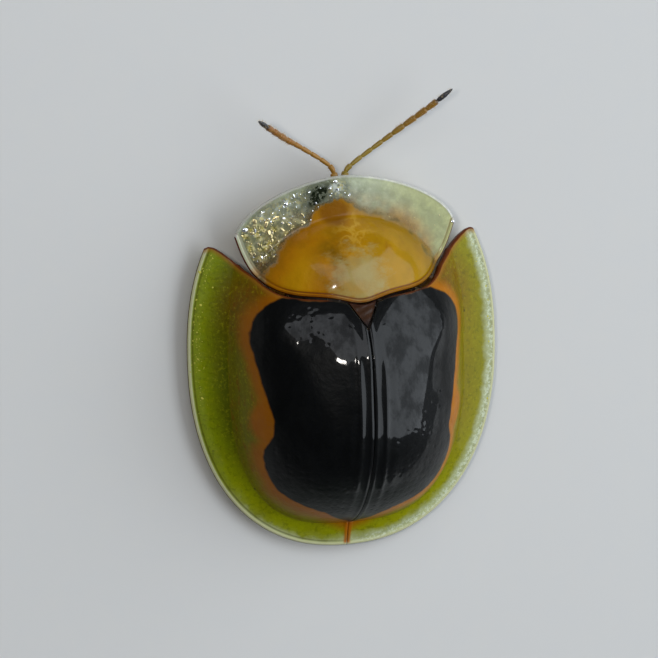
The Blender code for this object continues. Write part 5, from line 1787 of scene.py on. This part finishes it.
studio = {
    "floorSize": 1.6,  # metres
    "floorColour": (0.74, 0.735, 0.72, 1),
    "worldColour": (0.80, 0.88, 1.0, 1),
    "worldStrength": 0.07,
    "panel": {"toward": (-0.72, -0.12, 0.66), "away": 80, "size": (120, 100), "power": 0.075,
              "colour": (0.86, 0.93, 1.0)},
    "window": {"toward": (0.20, -0.52, 0.83), "away": 80, "size": (44, 52), "power": 0.012,
               "colour": (0.90, 0.94, 1.0)},
    "lamp": {"toward": (0.38, -0.22, 0.89), "away": 120, "size": (8, 8), "power": 0.020,
             "colour": (1.0, 0.95, 0.88)},
}

camera = {
    "right": Vector((-0.9626, 0.0228, 0.2699)),
    "up": Vector((-0.0758, -0.9793, -0.1876)),
    "toward": Vector((0.2600, -0.2010, 0.9444)),
    "aim": Vector((0.028, 0.269, -0.339)),
    "away": 150,
    "field": 10.03,  # width of the picture at the aim
    "sensor": 36,  # width in millimetres
    "nearest": 0.01,  # metres
    "furthest": 5.0,
}


def addLamp(name, toward, away, size, power, colour):
    light = bpy.data.lights.new(name, "AREA")
    light.shape = "RECTANGLE"
    light.size, light.size_y = size[0] * mm, size[1] * mm
    light.energy, light.color = power, colour
    lamp = bpy.data.objects.new(name, light)
    bpy.context.scene.collection.objects.link(lamp)
    direction = Vector(toward).normalized()
    lamp.location = direction * away * mm
    lamp.rotation_mode = "QUATERNION"
    lamp.rotation_quaternion = direction.to_track_quat("Z", "Y")
    lamp.visible_camera = False
    return lamp


def addStudio():
    half = studio["floorSize"] / 2
    corners = [(-half, -half, 0), (half, -half, 0), (half, half, 0), (-half, half, 0)]
    mesh = bpy.data.meshes.new("floor")
    mesh.from_pydata(corners, [], [(0, 1, 2, 3)])
    paint = Paint("palePaper")
    tone = paint.mix(paint.noise(0.4, 3), studio["floorColour"], rgb(226, 224, 220))
    floor = newObject("floor", mesh, paint.finish(baseColor=tone, roughness=0.7))
    world = bpy.data.worlds.new("studioAir")
    world.use_nodes = True
    air = world.node_tree.nodes["Background"].inputs
    air["Color"].default_value = studio["worldColour"]
    air["Strength"].default_value = studio["worldStrength"]
    bpy.context.scene.world = world
    for name in ("panel", "window", "lamp"):
        addLamp(name, **studio[name])
    bpy.context.scene.view_settings.view_transform = "Standard"


def addCamera():
    data = bpy.data.cameras.new("photoView")
    data.sensor_width = camera["sensor"]
    data.lens = camera["sensor"] * camera["away"] / camera["field"]
    data.clip_start, data.clip_end = camera["nearest"], camera["furthest"]
    view = bpy.data.objects.new("photoView", data)
    bpy.context.scene.collection.objects.link(view)
    turn = Matrix((camera["right"], camera["up"], camera["toward"])).transposed()
    place = (camera["aim"] + camera["toward"] * camera["away"]) * mm
    view.matrix_world = Matrix.Translation(place) @ turn.to_4x4()
    bpy.context.scene.camera = view


addStudio()
addCamera()
print("studio ready")
